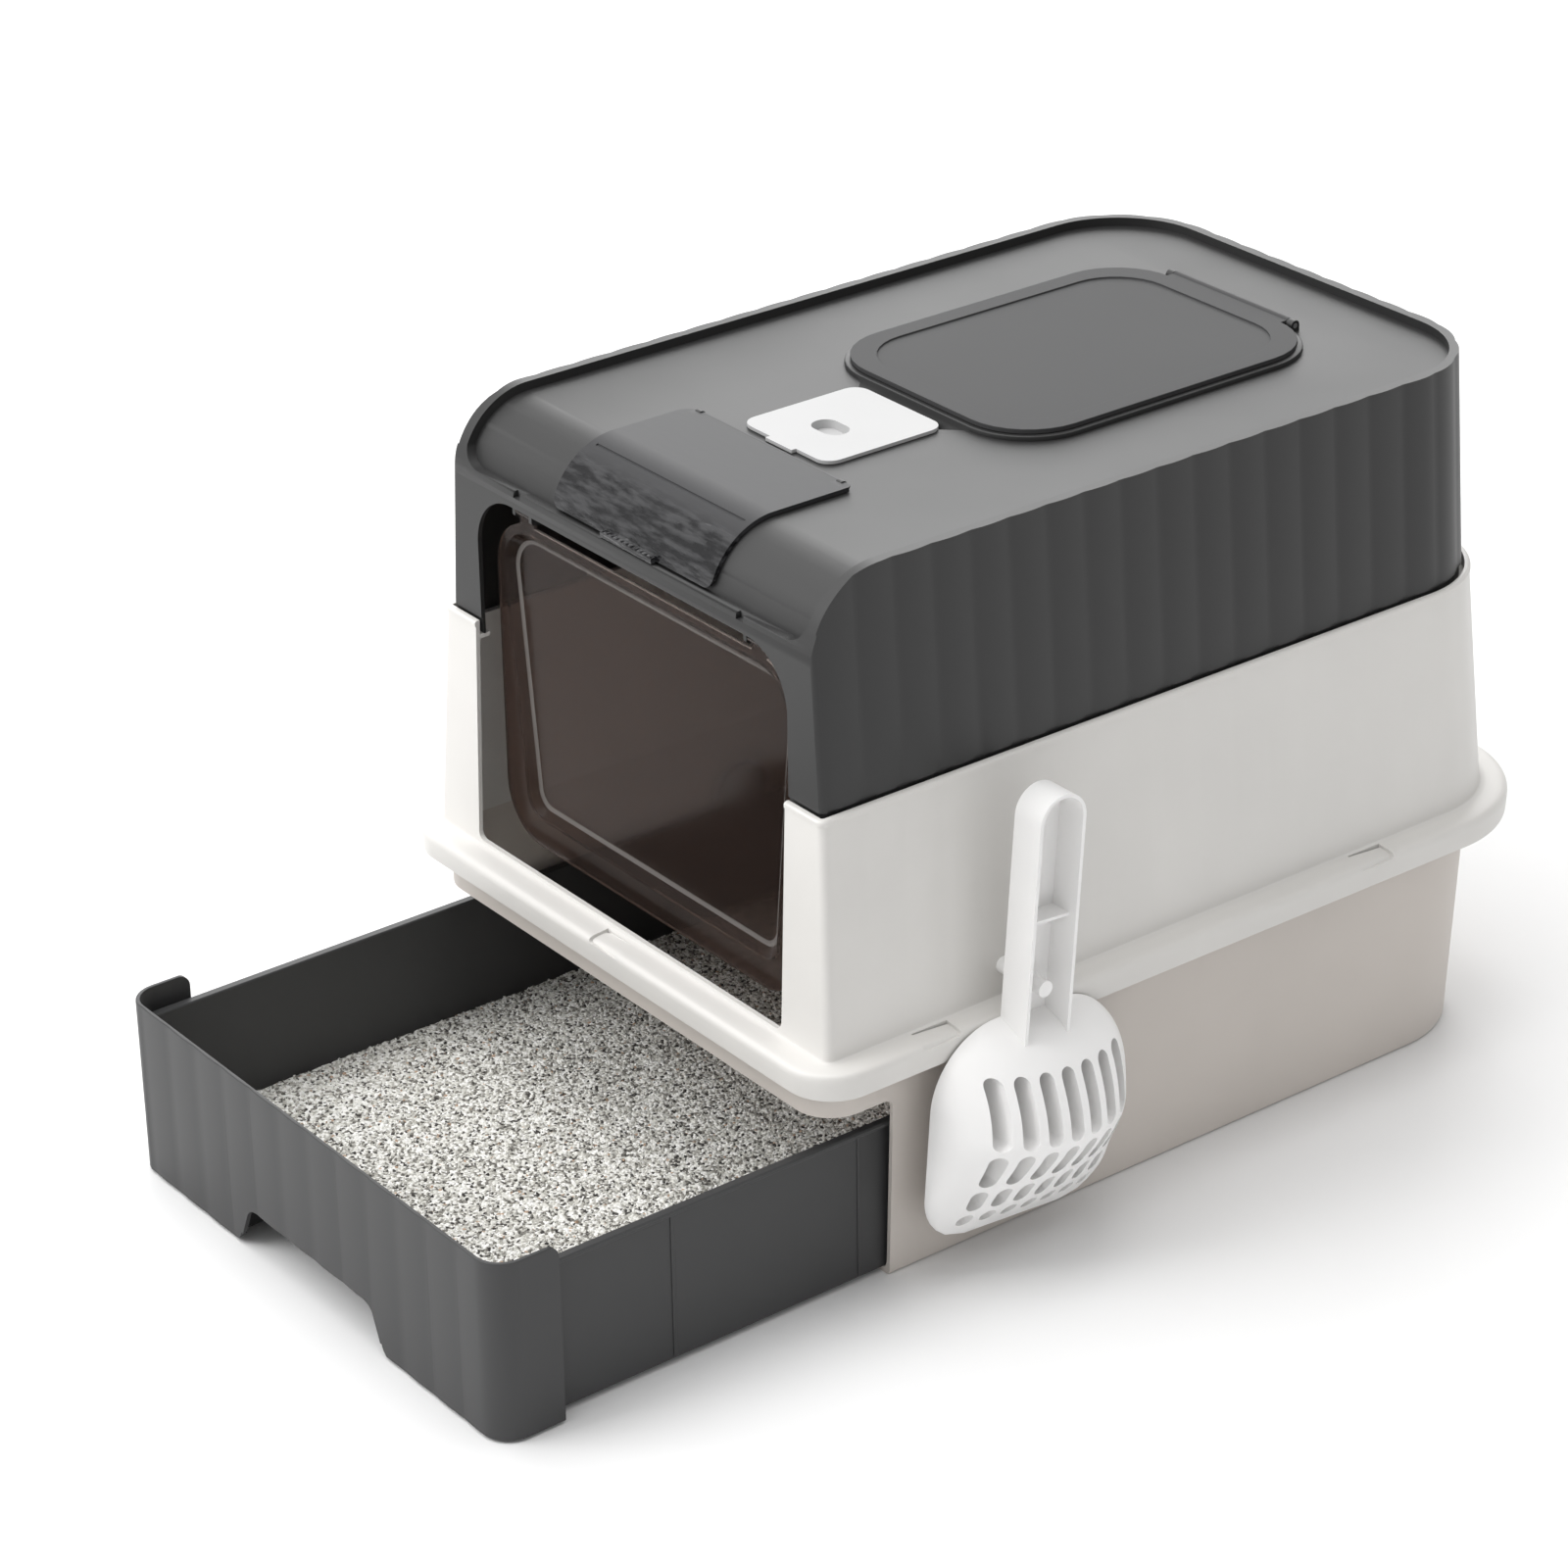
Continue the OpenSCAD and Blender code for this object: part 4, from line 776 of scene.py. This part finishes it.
for rib_span, ear_span in zip(spans(TRAY_HALF - 1, TRAY_HALF + RIB_OUT), spans(TRAY_HALF - 2.5, TRAY_HALF)):
    for y in RIB_PLACES:
        weld(drawer, "rib", "Z", eased(rect(*rib_span, y - 1, y + 1), 0.3, 3), 5, RIB_TOP)
    weld(drawer, "stop_ear", "X", [(EAR_FRONT, EAR_LOW), (EAR_BACK, EAR_LOW)]
         + arc(EAR_BACK - EAR_R, EAR_TOP - EAR_R, EAR_R, 0, 90)
         + arc(EAR_FRONT + EAR_R, EAR_TOP - EAR_R, EAR_R, 90, 180), *ear_span)
weld(drawer, "finger_pocket", "X", eased(rect(*FINGER_POCKET), 1.5), -POCKET_HALF, POCKET_HALF)
cut(drawer, "pocket_hollow", "X", eased(rect(*POCKET_HOLLOW), 1.5), -HOLLOW_HALF, HOLLOW_HALF)
cut(drawer, "finger_cut_out", "Y", eased(FINGER_CUT, 9), *FRONT_CUT)
for sign in (-1, 1):
    foot = [(60, -5), (75.6, -5), (75.6, 1)] + arc(75.6, 10, 9, 270, 196) + [(60, 7.5)]
    cut(drawer, "cut_out_foot", "Y", [(sign * x, z) for x, z in foot], *FRONT_CUT)
soften(drawer, 0.35)
drawer.data.materials.clear()
drawer.data.materials.append(drawer_plastic)
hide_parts("litter_drawer")
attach(drawer, "drawer")

# Cat litter
# The litter that fills the bottom of the drawer: crushed grey and beige mineral
# grains of one to three millimetres, with dark specks and a few rusty ones.
LITTER = dict(width=324.4, front=-446.2, back=16.2, front_r=9.2, rear_r=55.2)
LITTER_LOW, LITTER_TOP, LITTER_STEP = 5.4, 24.4, 3.0
LITTER_SEED, LITTER_ROUGH = 7, 0.55
POCKET_EDGE_X, POCKET_EDGE_Y = 79.0, -424.0
GRAINS_PER_M2, GRAIN_R, GRAIN_SEED = 98000, 1.25, 11
GRAIN_TONES = [(0, (0.07, 0.065, 0.06)), (1, (1, 1, 1)), (0.09, (0.25, 0.24, 0.215)),
               (0.24, (0.55, 0.535, 0.49)), (0.47, (0.81, 0.8, 0.75)), (0.72, (0.97, 0.96, 0.93)),
               (0.985, (0.5, 0.36, 0.26))]


def inside_plan(x, y, plan):
    """The point itself, or the nearest one on the plan's rounded corners."""
    half = plan["width"] / 2
    for cy, r, rear in ((plan["front"] + plan["front_r"], plan["front_r"], False),
                        (plan["back"] - plan["rear_r"], plan["rear_r"], True)):
        cx = half - r
        if abs(x) > cx and ((y > cy) if rear else (y < cy)):
            dx, dy = abs(x) - cx, y - cy
            away = math.hypot(dx, dy)
            if away > r:
                return math.copysign(cx + dx * r / away, x), cy + dy * r / away
    return x, y


def litter_surface(x, y):
    """Height of the raked litter, in long low waves."""
    wave = 0.5 * math.sin(x / 31 + 0.6 * math.sin(y / 47)) + 0.4 * math.sin(y / 38 + x / 90)
    return LITTER_TOP - 1.2 + wave * 0.8


columns = round(LITTER["width"] / LITTER_STEP)
rows = round((LITTER["back"] - LITTER["front"]) / LITTER_STEP)
rng = random.Random(LITTER_SEED)
bed = bmesh.new()
net = {}


def litter_place(i, j):
    """Where the litter's net has its column i and row j."""
    return (-LITTER["width"] / 2 + LITTER["width"] * i / columns,
            LITTER["front"] + (LITTER["back"] - LITTER["front"]) * j / rows)


for i in range(columns + 1):
    for j in range(rows + 1):
        x, y = inside_plan(*litter_place(i, j), LITTER)
        rough = rng.uniform(-LITTER_ROUGH, LITTER_ROUGH)
        net[i, j] = bed.verts.new((x * MM, y * MM, (litter_surface(x, y) + rough) * MM))
for i in range(columns):
    for j in range(rows):
        cx, cy = litter_place(i + 0.5, j + 0.5)
        if abs(cx) >= POCKET_EDGE_X or cy >= POCKET_EDGE_Y:
            bed.faces.new((net[i, j], net[i + 1, j], net[i + 1, j + 1], net[i, j + 1]))
bmesh.ops.delete(bed, geom=[v for v in bed.verts if not v.link_faces], context="VERTS")
skirt = bmesh.ops.extrude_edge_only(bed, edges=[e for e in bed.edges if len(e.link_faces) == 1])["geom"]
for v in skirt:
    if isinstance(v, bmesh.types.BMVert):
        v.co.z = LITTER_LOW * MM
bmesh.ops.holes_fill(bed, edges=[e for e in bed.edges if len(e.link_faces) == 1], sides=0)
bmesh.ops.recalc_face_normals(bed, faces=bed.faces)


def built(name, work):
    """Piece from a bmesh that is complete."""
    mesh = bpy.data.meshes.new(name)
    work.to_mesh(mesh)
    work.free()
    return piece_from(name, mesh)


litter = built("cat_litter", bed)


def grain_scatter():
    """Geometry nodes that strew rough grains, each of eight faces, over the litter's top."""
    tree, given = geometry_group("strewn_grains", [("Grains per square metre", "Float"), ("Grain radius", "Float"),
                                                   ("Seed", "Int"), ("Litter", "Material")])
    normal = add_node(tree, "GeometryNodeInputNormal", {})["Normal"]
    height = add_node(tree, "ShaderNodeSeparateXYZ", {0: normal})["Z"]
    top = add_node(tree, "FunctionNodeCompare", {0: height, 1: 0.5}, operation="GREATER_THAN")["Result"]
    points = add_node(tree, "GeometryNodeDistributePointsOnFaces", {
        "Mesh": given["Geometry"], "Selection": top, "Density": given["Grains per square metre"],
        "Seed": given["Seed"]})["Points"]
    grain = add_node(tree, "GeometryNodeMeshUVSphere", {"Segments": 4, "Rings": 2,
                                                        "Radius": given["Grain radius"]})["Mesh"]
    size, spin = (add_node(tree, "FunctionNodeRandomValue", {"Min": low, "Max": high}, data_type="FLOAT_VECTOR")
                  for low, high in (((0.55, 0.55, 0.45), (1.25, 1.25, 1.0)), ((0, 0, 0), (6.28, 6.28, 6.28))))
    strewn = add_node(tree, "GeometryNodeInstanceOnPoints", {
        "Points": points, "Instance": grain, "Scale": size["Value"], "Rotation": spin["Value"]})["Instances"]
    both = tree.nodes.new("GeometryNodeJoinGeometry")
    for part in (given["Geometry"], strewn):
        feed(tree, both, {"Geometry": part})
    return give_out(tree, both.outputs["Geometry"], given["Litter"])


litter_stuff, tree, shader = new_material("cat_litter")
place = add_node(tree, "ShaderNodeTexCoord", {})["Object"]
grains = add_node(tree, "ShaderNodeTexVoronoi", {"Vector": place, "Scale": 640})
shade = add_node(tree, "ShaderNodeSeparateColor", {"Color": grains["Color"]})["Red"]
tones = colour_ramp(tree, shade, GRAIN_TONES, "CONSTANT")
bump = add_node(tree, "ShaderNodeBump", {"Strength": 0.9, "Distance": 0.0012, "Height": grains["Distance"]},
                invert=True)["Normal"]
feed(tree, shader, {"Base Color": tones, "Normal": bump, "Roughness": 0.95})
scatter = litter.modifiers.new("grains", "NODES")
scatter.node_group = grain_scatter()
set_inputs(scatter, **{"Grains per square metre": GRAINS_PER_M2, "Grain radius": GRAIN_R * MM,
                       "Seed": GRAIN_SEED, "Litter": litter_stuff})
settle(litter)
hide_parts("litter_bed")
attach(litter, "drawer")

# Hatch lid
# The grey lid over the roof's top entrance: a moulded plate with a sunk panel, on a
# steel pin at its back edge.
HATCH_GREY = (0.05, 0.05, 0.051)
hatch = tidy_copy("hatch_lid", "hatch_lid_plate")
soften(hatch, 0.6, segments=3)
hatch.data.materials.append(moulded_plastic("hatch_grey", HATCH_GREY, 0.62, patches=0.05, specular=0.2))
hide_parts("hatch_lid")
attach(hatch, "hatch")

# Window flap
# The glossy smoked flap bent over the roof's front shoulder: a thin clear acrylic
# sheet formed over a curve, with a ribbed pull tab, on a steel pin at its back.
# The two streak colours are painted shade and painted highlight for the ripples where the sheet bends
FLAP_SMOKE, RIPPLE_PAINTED_SHADE, RIPPLE_PAINTED_HIGHLIGHT = (0.03, 0.03, 0.032), (0.008, 0.008, 0.009), (0.045, 0.045, 0.047)
FLAP_HALF, FLAP_OUTER_R, FLAP_THICK, FLAP_LOW_Z = 68, 41.75, 2.4, 363.2
FLAP_PARTS = 34
CREASE_DEG, CREASE_OUT, CREASE_R, CREASE_HALF = 20.5, 0.15, 0.85, 63
CORNER_LOW_R = 6
BARREL_R, BARREL_HALF = 2.2, 57.5
PIN_HOLE_R, PIN_R, PIN_HALF = 1.23, 1.2, 62
FLAP_LUG_X, LUG_GAP_HALF = 59.5, 2.5
TAB_SIDE, TAB_HALF = [(-236.2, 361.8), (-226.5, 362.6), (-226.5, 366.6), (-236.2, 365.2)], 22
TAB_RIBS, TAB_RIB_PITCH, TAB_RIB_R, TAB_RIB_LEN, TAB_RIB_SLOPE = 11, 4.1, 0.55, 8, 0.1
TAB_RIB_Y, TAB_RIB_Z = -231.9, 365.3


def sheet_side(r):
    """Side view of one face of the bent sheet, from its pin to its lower edge."""
    low = math.degrees(math.acos((FLAP_LOW_Z - SHOULDER_Z) / r))
    rear = FLAP_HINGE[0] + 1
    return [(rear - i * (rear - SHOULDER_Y) / 8, SHOULDER_Z + r) for i in range(8)] \
        + arc(SHOULDER_Y, SHOULDER_Z, r, 90, 90 + low, 60)


outline = sheet_side(FLAP_OUTER_R) + sheet_side(FLAP_OUTER_R - FLAP_THICK)[::-1]
flap = bar_along("window_flap_sheet", "X", outline,
                 *(-FLAP_HALF + 2 * FLAP_HALF * i / FLAP_PARTS for i in range(FLAP_PARTS + 1)))
crease_turn, crease_at = math.radians(CREASE_DEG), FLAP_OUTER_R + CREASE_OUT
cut(flap, "crease", "X", disc(SHOULDER_Y - crease_at * math.sin(crease_turn),
                              SHOULDER_Z + crease_at * math.cos(crease_turn), CREASE_R, 10),
    -CREASE_HALF, CREASE_HALF)
for side, r in ((-1, 10), (1, 3.5)):
    start = 90 - 90 * side
    edge, rear = side * FLAP_HALF, FLAP_HINGE[0] + 1
    x = edge - side * r
    cut(flap, "corner", "Z", [(edge + side * 2, rear + 2), (x, rear + 2)]
        + arc(x, rear - r, r, 90, start, 10) + [(edge + side * 2, rear - r)], 385, 400)
    x, z = edge - side * CORNER_LOW_R, FLAP_LOW_Z + CORNER_LOW_R
    cut(flap, "corner", "Y", [(edge + side * 2, FLAP_LOW_Z - 3), (edge + side * 2, z)]
        + arc(x, z, CORNER_LOW_R, start, 90 - 180 * side, 10) + [(x, FLAP_LOW_Z - 3)], -245, -215)
soften(flap, 0.45, angle=50)
hinge_y, hinge_z = FLAP_HINGE
weld(flap, "barrel", "X", disc(hinge_y, hinge_z - 0.3, BARREL_R), -BARREL_HALF, BARREL_HALF)
for x in (-FLAP_LUG_X, FLAP_LUG_X):
    cut(flap, "lug_gap", "X", rect(hinge_y - 3, hinge_y + 3, 388, 393.3),
        x - LUG_GAP_HALF, x + LUG_GAP_HALF)
cut(flap, "pin_hole", "X", disc(hinge_y, hinge_z, PIN_HOLE_R, 16), -80, 80)
weld(flap, "tab", "X", eased(TAB_SIDE, 0.6, 4), -TAB_HALF, TAB_HALF)
ribs = bmesh.new()
for k in range(TAB_RIBS):
    rib = bmesh.ops.create_cone(ribs, cap_ends=True, segments=8, radius1=TAB_RIB_R * MM, radius2=TAB_RIB_R * MM,
                                depth=TAB_RIB_LEN * MM)["verts"]
    for v in rib:
        v.co = Vector((v.co.x + (k - TAB_RIBS // 2) * TAB_RIB_PITCH * MM, v.co.z + TAB_RIB_Y * MM,
                       v.co.y + TAB_RIB_Z * MM - v.co.z * TAB_RIB_SLOPE))
bmesh.ops.recalc_face_normals(ribs, faces=ribs.faces)
for face in ribs.faces:
    face.smooth = True
carve(flap, built("ribs", ribs), "UNION")

# The sheet is plain over the roof, and glossier where it bends down, where the shade and highlights of its ripples
# are painted on as dark and light streaks
flap_sheet = moulded_plastic("flap_smoke", FLAP_SMOKE, 0.16, grain=0.02, patches=0.1, specular=0.3)
tree = flap_sheet.node_tree
place = add_node(tree, "ShaderNodeTexCoord", {})["Object"]
stretched = add_node(tree, "ShaderNodeMapping", {"Vector": place, "Scale": (0.24, 1.0, 1.3)})["Vector"]
ripple = add_node(tree, "ShaderNodeTexNoise", {"Vector": stretched, "Scale": 250, "Detail": 3})["Fac"]
height = add_node(tree, "ShaderNodeSeparateXYZ", {0: place})["Z"]
bend = add_node(tree, "ShaderNodeMapRange", {"Value": height, "From Min": 0.391, "From Max": 0.384,
                                             "To Min": 0.02}, interpolation_type="SMOOTHSTEP")["Result"]
wavy = add_node(tree, "ShaderNodeMath", {0: ripple, 1: bend}, operation="MULTIPLY")["Value"]
relief = add_node(tree, "ShaderNodeBump", {"Strength": 0.6, "Distance": 0.0024, "Height": wavy})["Normal"]
sheen = add_node(tree, "ShaderNodeMapRange", {"Value": bend, "To Min": 0.5, "To Max": 0.12})["Result"]
# Painted shade and painted highlight: the ripples' dark and light streaks put into the colour
painted_ripple_light = colour_ramp(tree, ripple, [(0.42, RIPPLE_PAINTED_SHADE), (0.62, RIPPLE_PAINTED_HIGHLIGHT)])
# The mix node's colours are its inputs 6 and 7 and its output 2
smoke_and_ripple_light = add_node(tree, "ShaderNodeMix", {0: bend, 6: (*FLAP_SMOKE, 1), 7: painted_ripple_light}, data_type="RGBA")[2]
feed(tree, tree.nodes["Principled BSDF"], {"Base Color": smoke_and_ripple_light, "Roughness": sheen, "Normal": relief})
flap.data.materials.clear()
flap.data.materials.append(flap_sheet)
flap_pin = bar_along("window_flap_rod", "X", disc(hinge_y, hinge_z, PIN_R, 24), -PIN_HALF, PIN_HALF)
soften(flap_pin, 0.2)
flap_pin.data.materials.append(steel)
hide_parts("window_flap_pin")
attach(flap_pin, "cover")
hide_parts("window_flap")
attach(flap, "flap")

# Odour cartridge
# The white plate with its finger dish, the slotted grey cup under it that hangs in the
# roof, and the sachet of charcoal in that cup.
PLATE_WHITE, SACHET_CLOTH = (0.5, 0.5, 0.5), (0.7, 0.69, 0.66)
plate = tidy_copy("deodoriser_plate", "deodoriser_plate_cap")
soften(plate, 0.4)
plate.data.materials.append(moulded_plastic("plate_white", PLATE_WHITE, 0.6, specular=0.1))
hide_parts("deodoriser_plate")
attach(plate, "plate")
frame["nodes"]["deodoriser_cup"].data.materials[0] = cover_plastic
sachet_cloth = moulded_plastic("sachet_cloth", SACHET_CLOTH, 0.9, grain=0.4)
frame["nodes"]["charcoal_sachet"].data.materials[0] = sachet_cloth

# Litter scoop
# The white scoop that hangs on the right side: one moulding with a channelled handle
# and a slotted dished bowl, hooked over a peg on the body.
SCOOP_WHITE = (0.9, 0.893, 0.885)
SCOOP_AT, SCOOP_LEAN = (189.2, -132, 126), -4.2
HANDLE_W, HANDLE_D, HANDLE_LEN, HANDLE_WALL, HANDLE_FOOT = 30, 20, 144, 2, -5
WEB_UP, WEB_THICK = 72, 1.6
BOWL_HALF, BOWL_RISE, BOWL_LEN, BOWL_DEEP, BOWL_SHIFT = 60.5, 16, 122, 46, 2.5
BOWL_LOW_R, BOWL_TOP_R = 28, {-1: 44, 1: 37}
BOWL_PROFILE = [(0, 0), (0.03, 0.28), (0.066, 0.45), (0.105, 0.59), (0.17, 0.73), (0.246, 0.84),
                (0.325, 0.93), (0.4, 0.985), (0.45, 1), (0.51, 0.95), (0.57, 0.86), (0.64, 0.73),
                (0.75, 0.53), (0.86, 0.33), (1, 0)]
SLOT_W, SLOT_PITCH, SLOT_SIDE = 8.6, 13.4, 3
SLOT_ROWS = [(-3.5, 37), (-44, 22), (-69.5, 14.5), (-87.5, 9)]
PEG_UP, PEG_HOLE_R = 34, 4.58


def smooth_line(points, parts):
    """Rounded curve through the points, with that many steps between each two."""
    found = []
    for i in range(len(points) - 1):
        p0, p1, p2, p3 = (Vector(points[max(0, min(len(points) - 1, i + k))]) for k in (-1, 0, 1, 2))
        for k in range(parts):
            t = k / parts
            found.append(tuple(0.5 * (2 * p1 + (p2 - p0) * t + (2 * p0 - 5 * p1 + 4 * p2 - p3) * t * t
                                      + (3 * p1 - p0 - 3 * p2 + p3) * t ** 3)))
    return found + [tuple(points[-1])]


def bowl_half(down, side):
    """Half width of the bowl that far below its top edge."""
    def corner(r, into):
        return r - math.sqrt(max(0, r * r - (r - into) ** 2)) if into < r else 0
    return BOWL_HALF - corner(BOWL_TOP_R[side], down) - corner(BOWL_LOW_R, BOWL_LEN - down)


def bowl_solid(inset, back, steps=40):
    """The bowl as a filled dome: an oval across, and the side profile down its middle."""
    bowl = bmesh.new()
    profile = smooth_line(BOWL_PROFILE, 4)
    net = []
    for share, depth in profile:
        down = inset + share * (BOWL_LEN - 2 * inset)
        ring = []
        for k in range(steps + 1):
            turn = math.radians(180 * k / steps - 90)
            half = bowl_half(down, 1 if turn > 0 else -1) - inset
            x = back + max(depth, 0) * (BOWL_DEEP - inset - back) * math.cos(turn)
            y = BOWL_SHIFT + half * math.sin(turn)
            ring.append(bowl.verts.new((x * MM, y * MM, (BOWL_RISE - down) * MM)))
        net.append(ring)
    for low, high in zip(net, net[1:]):
        for k in range(steps):
            bowl.faces.new((low[k], low[k + 1], high[k + 1], high[k]))
    bmesh.ops.remove_doubles(bowl, verts=bowl.verts, dist=0.00001)
    bmesh.ops.holes_fill(bowl, edges=[e for e in bowl.edges if e.is_boundary], sides=0)
    bmesh.ops.recalc_face_normals(bowl, faces=bowl.faces)
    return built("bowl", bowl)


def handle_outline(inset):
    r = HANDLE_W / 2 - inset
    return [(-r, HANDLE_FOOT), (r, HANDLE_FOOT)] + arc(0, HANDLE_LEN - HANDLE_W / 2, r, 0, 180, 24)


scoop = bowl_solid(0, 0)
handle = bar_along("handle", "X", handle_outline(0), 0, HANDLE_D)
cut(handle, "channel", "X", handle_outline(HANDLE_WALL), HANDLE_WALL, HANDLE_D + 5)
weld(handle, "web", "X", rect(1 - HANDLE_W / 2, HANDLE_W / 2 - 1, WEB_UP, WEB_UP + WEB_THICK),
     HANDLE_WALL / 2, HANDLE_D - 5)
carve(scoop, handle, "UNION")
carve(scoop, bowl_solid(2, -1))
for top, length in SLOT_ROWS:
    for i in range(-SLOT_SIDE, SLOT_SIDE + 1):
        y, r = i * SLOT_PITCH + BOWL_SHIFT, SLOT_W / 2
        cut(scoop, "slot", "X", arc(y, top - r, r, 0, 180, 10) + arc(y, top - length + r, r, 180, 360, 10),
            HANDLE_WALL, BOWL_DEEP + 8)
cut(scoop, "peg_hole", "X", disc(0, PEG_UP, PEG_HOLE_R, 28), -5, 15)
lean = Matrix.Rotation(math.radians(SCOOP_LEAN), 4, "X")
scoop.data.transform(Matrix.Translation(Vector(SCOOP_AT) * MM) @ lean)
soften(scoop, 0.45, angle=40)
scoop_plastic = moulded_plastic("scoop_white", SCOOP_WHITE, 0.38)
scoop.data.materials.append(scoop_plastic)
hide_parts("scoop")
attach(scoop, "scoop")
frame["nodes"]["scoop_peg"].data.materials[0] = scoop_plastic
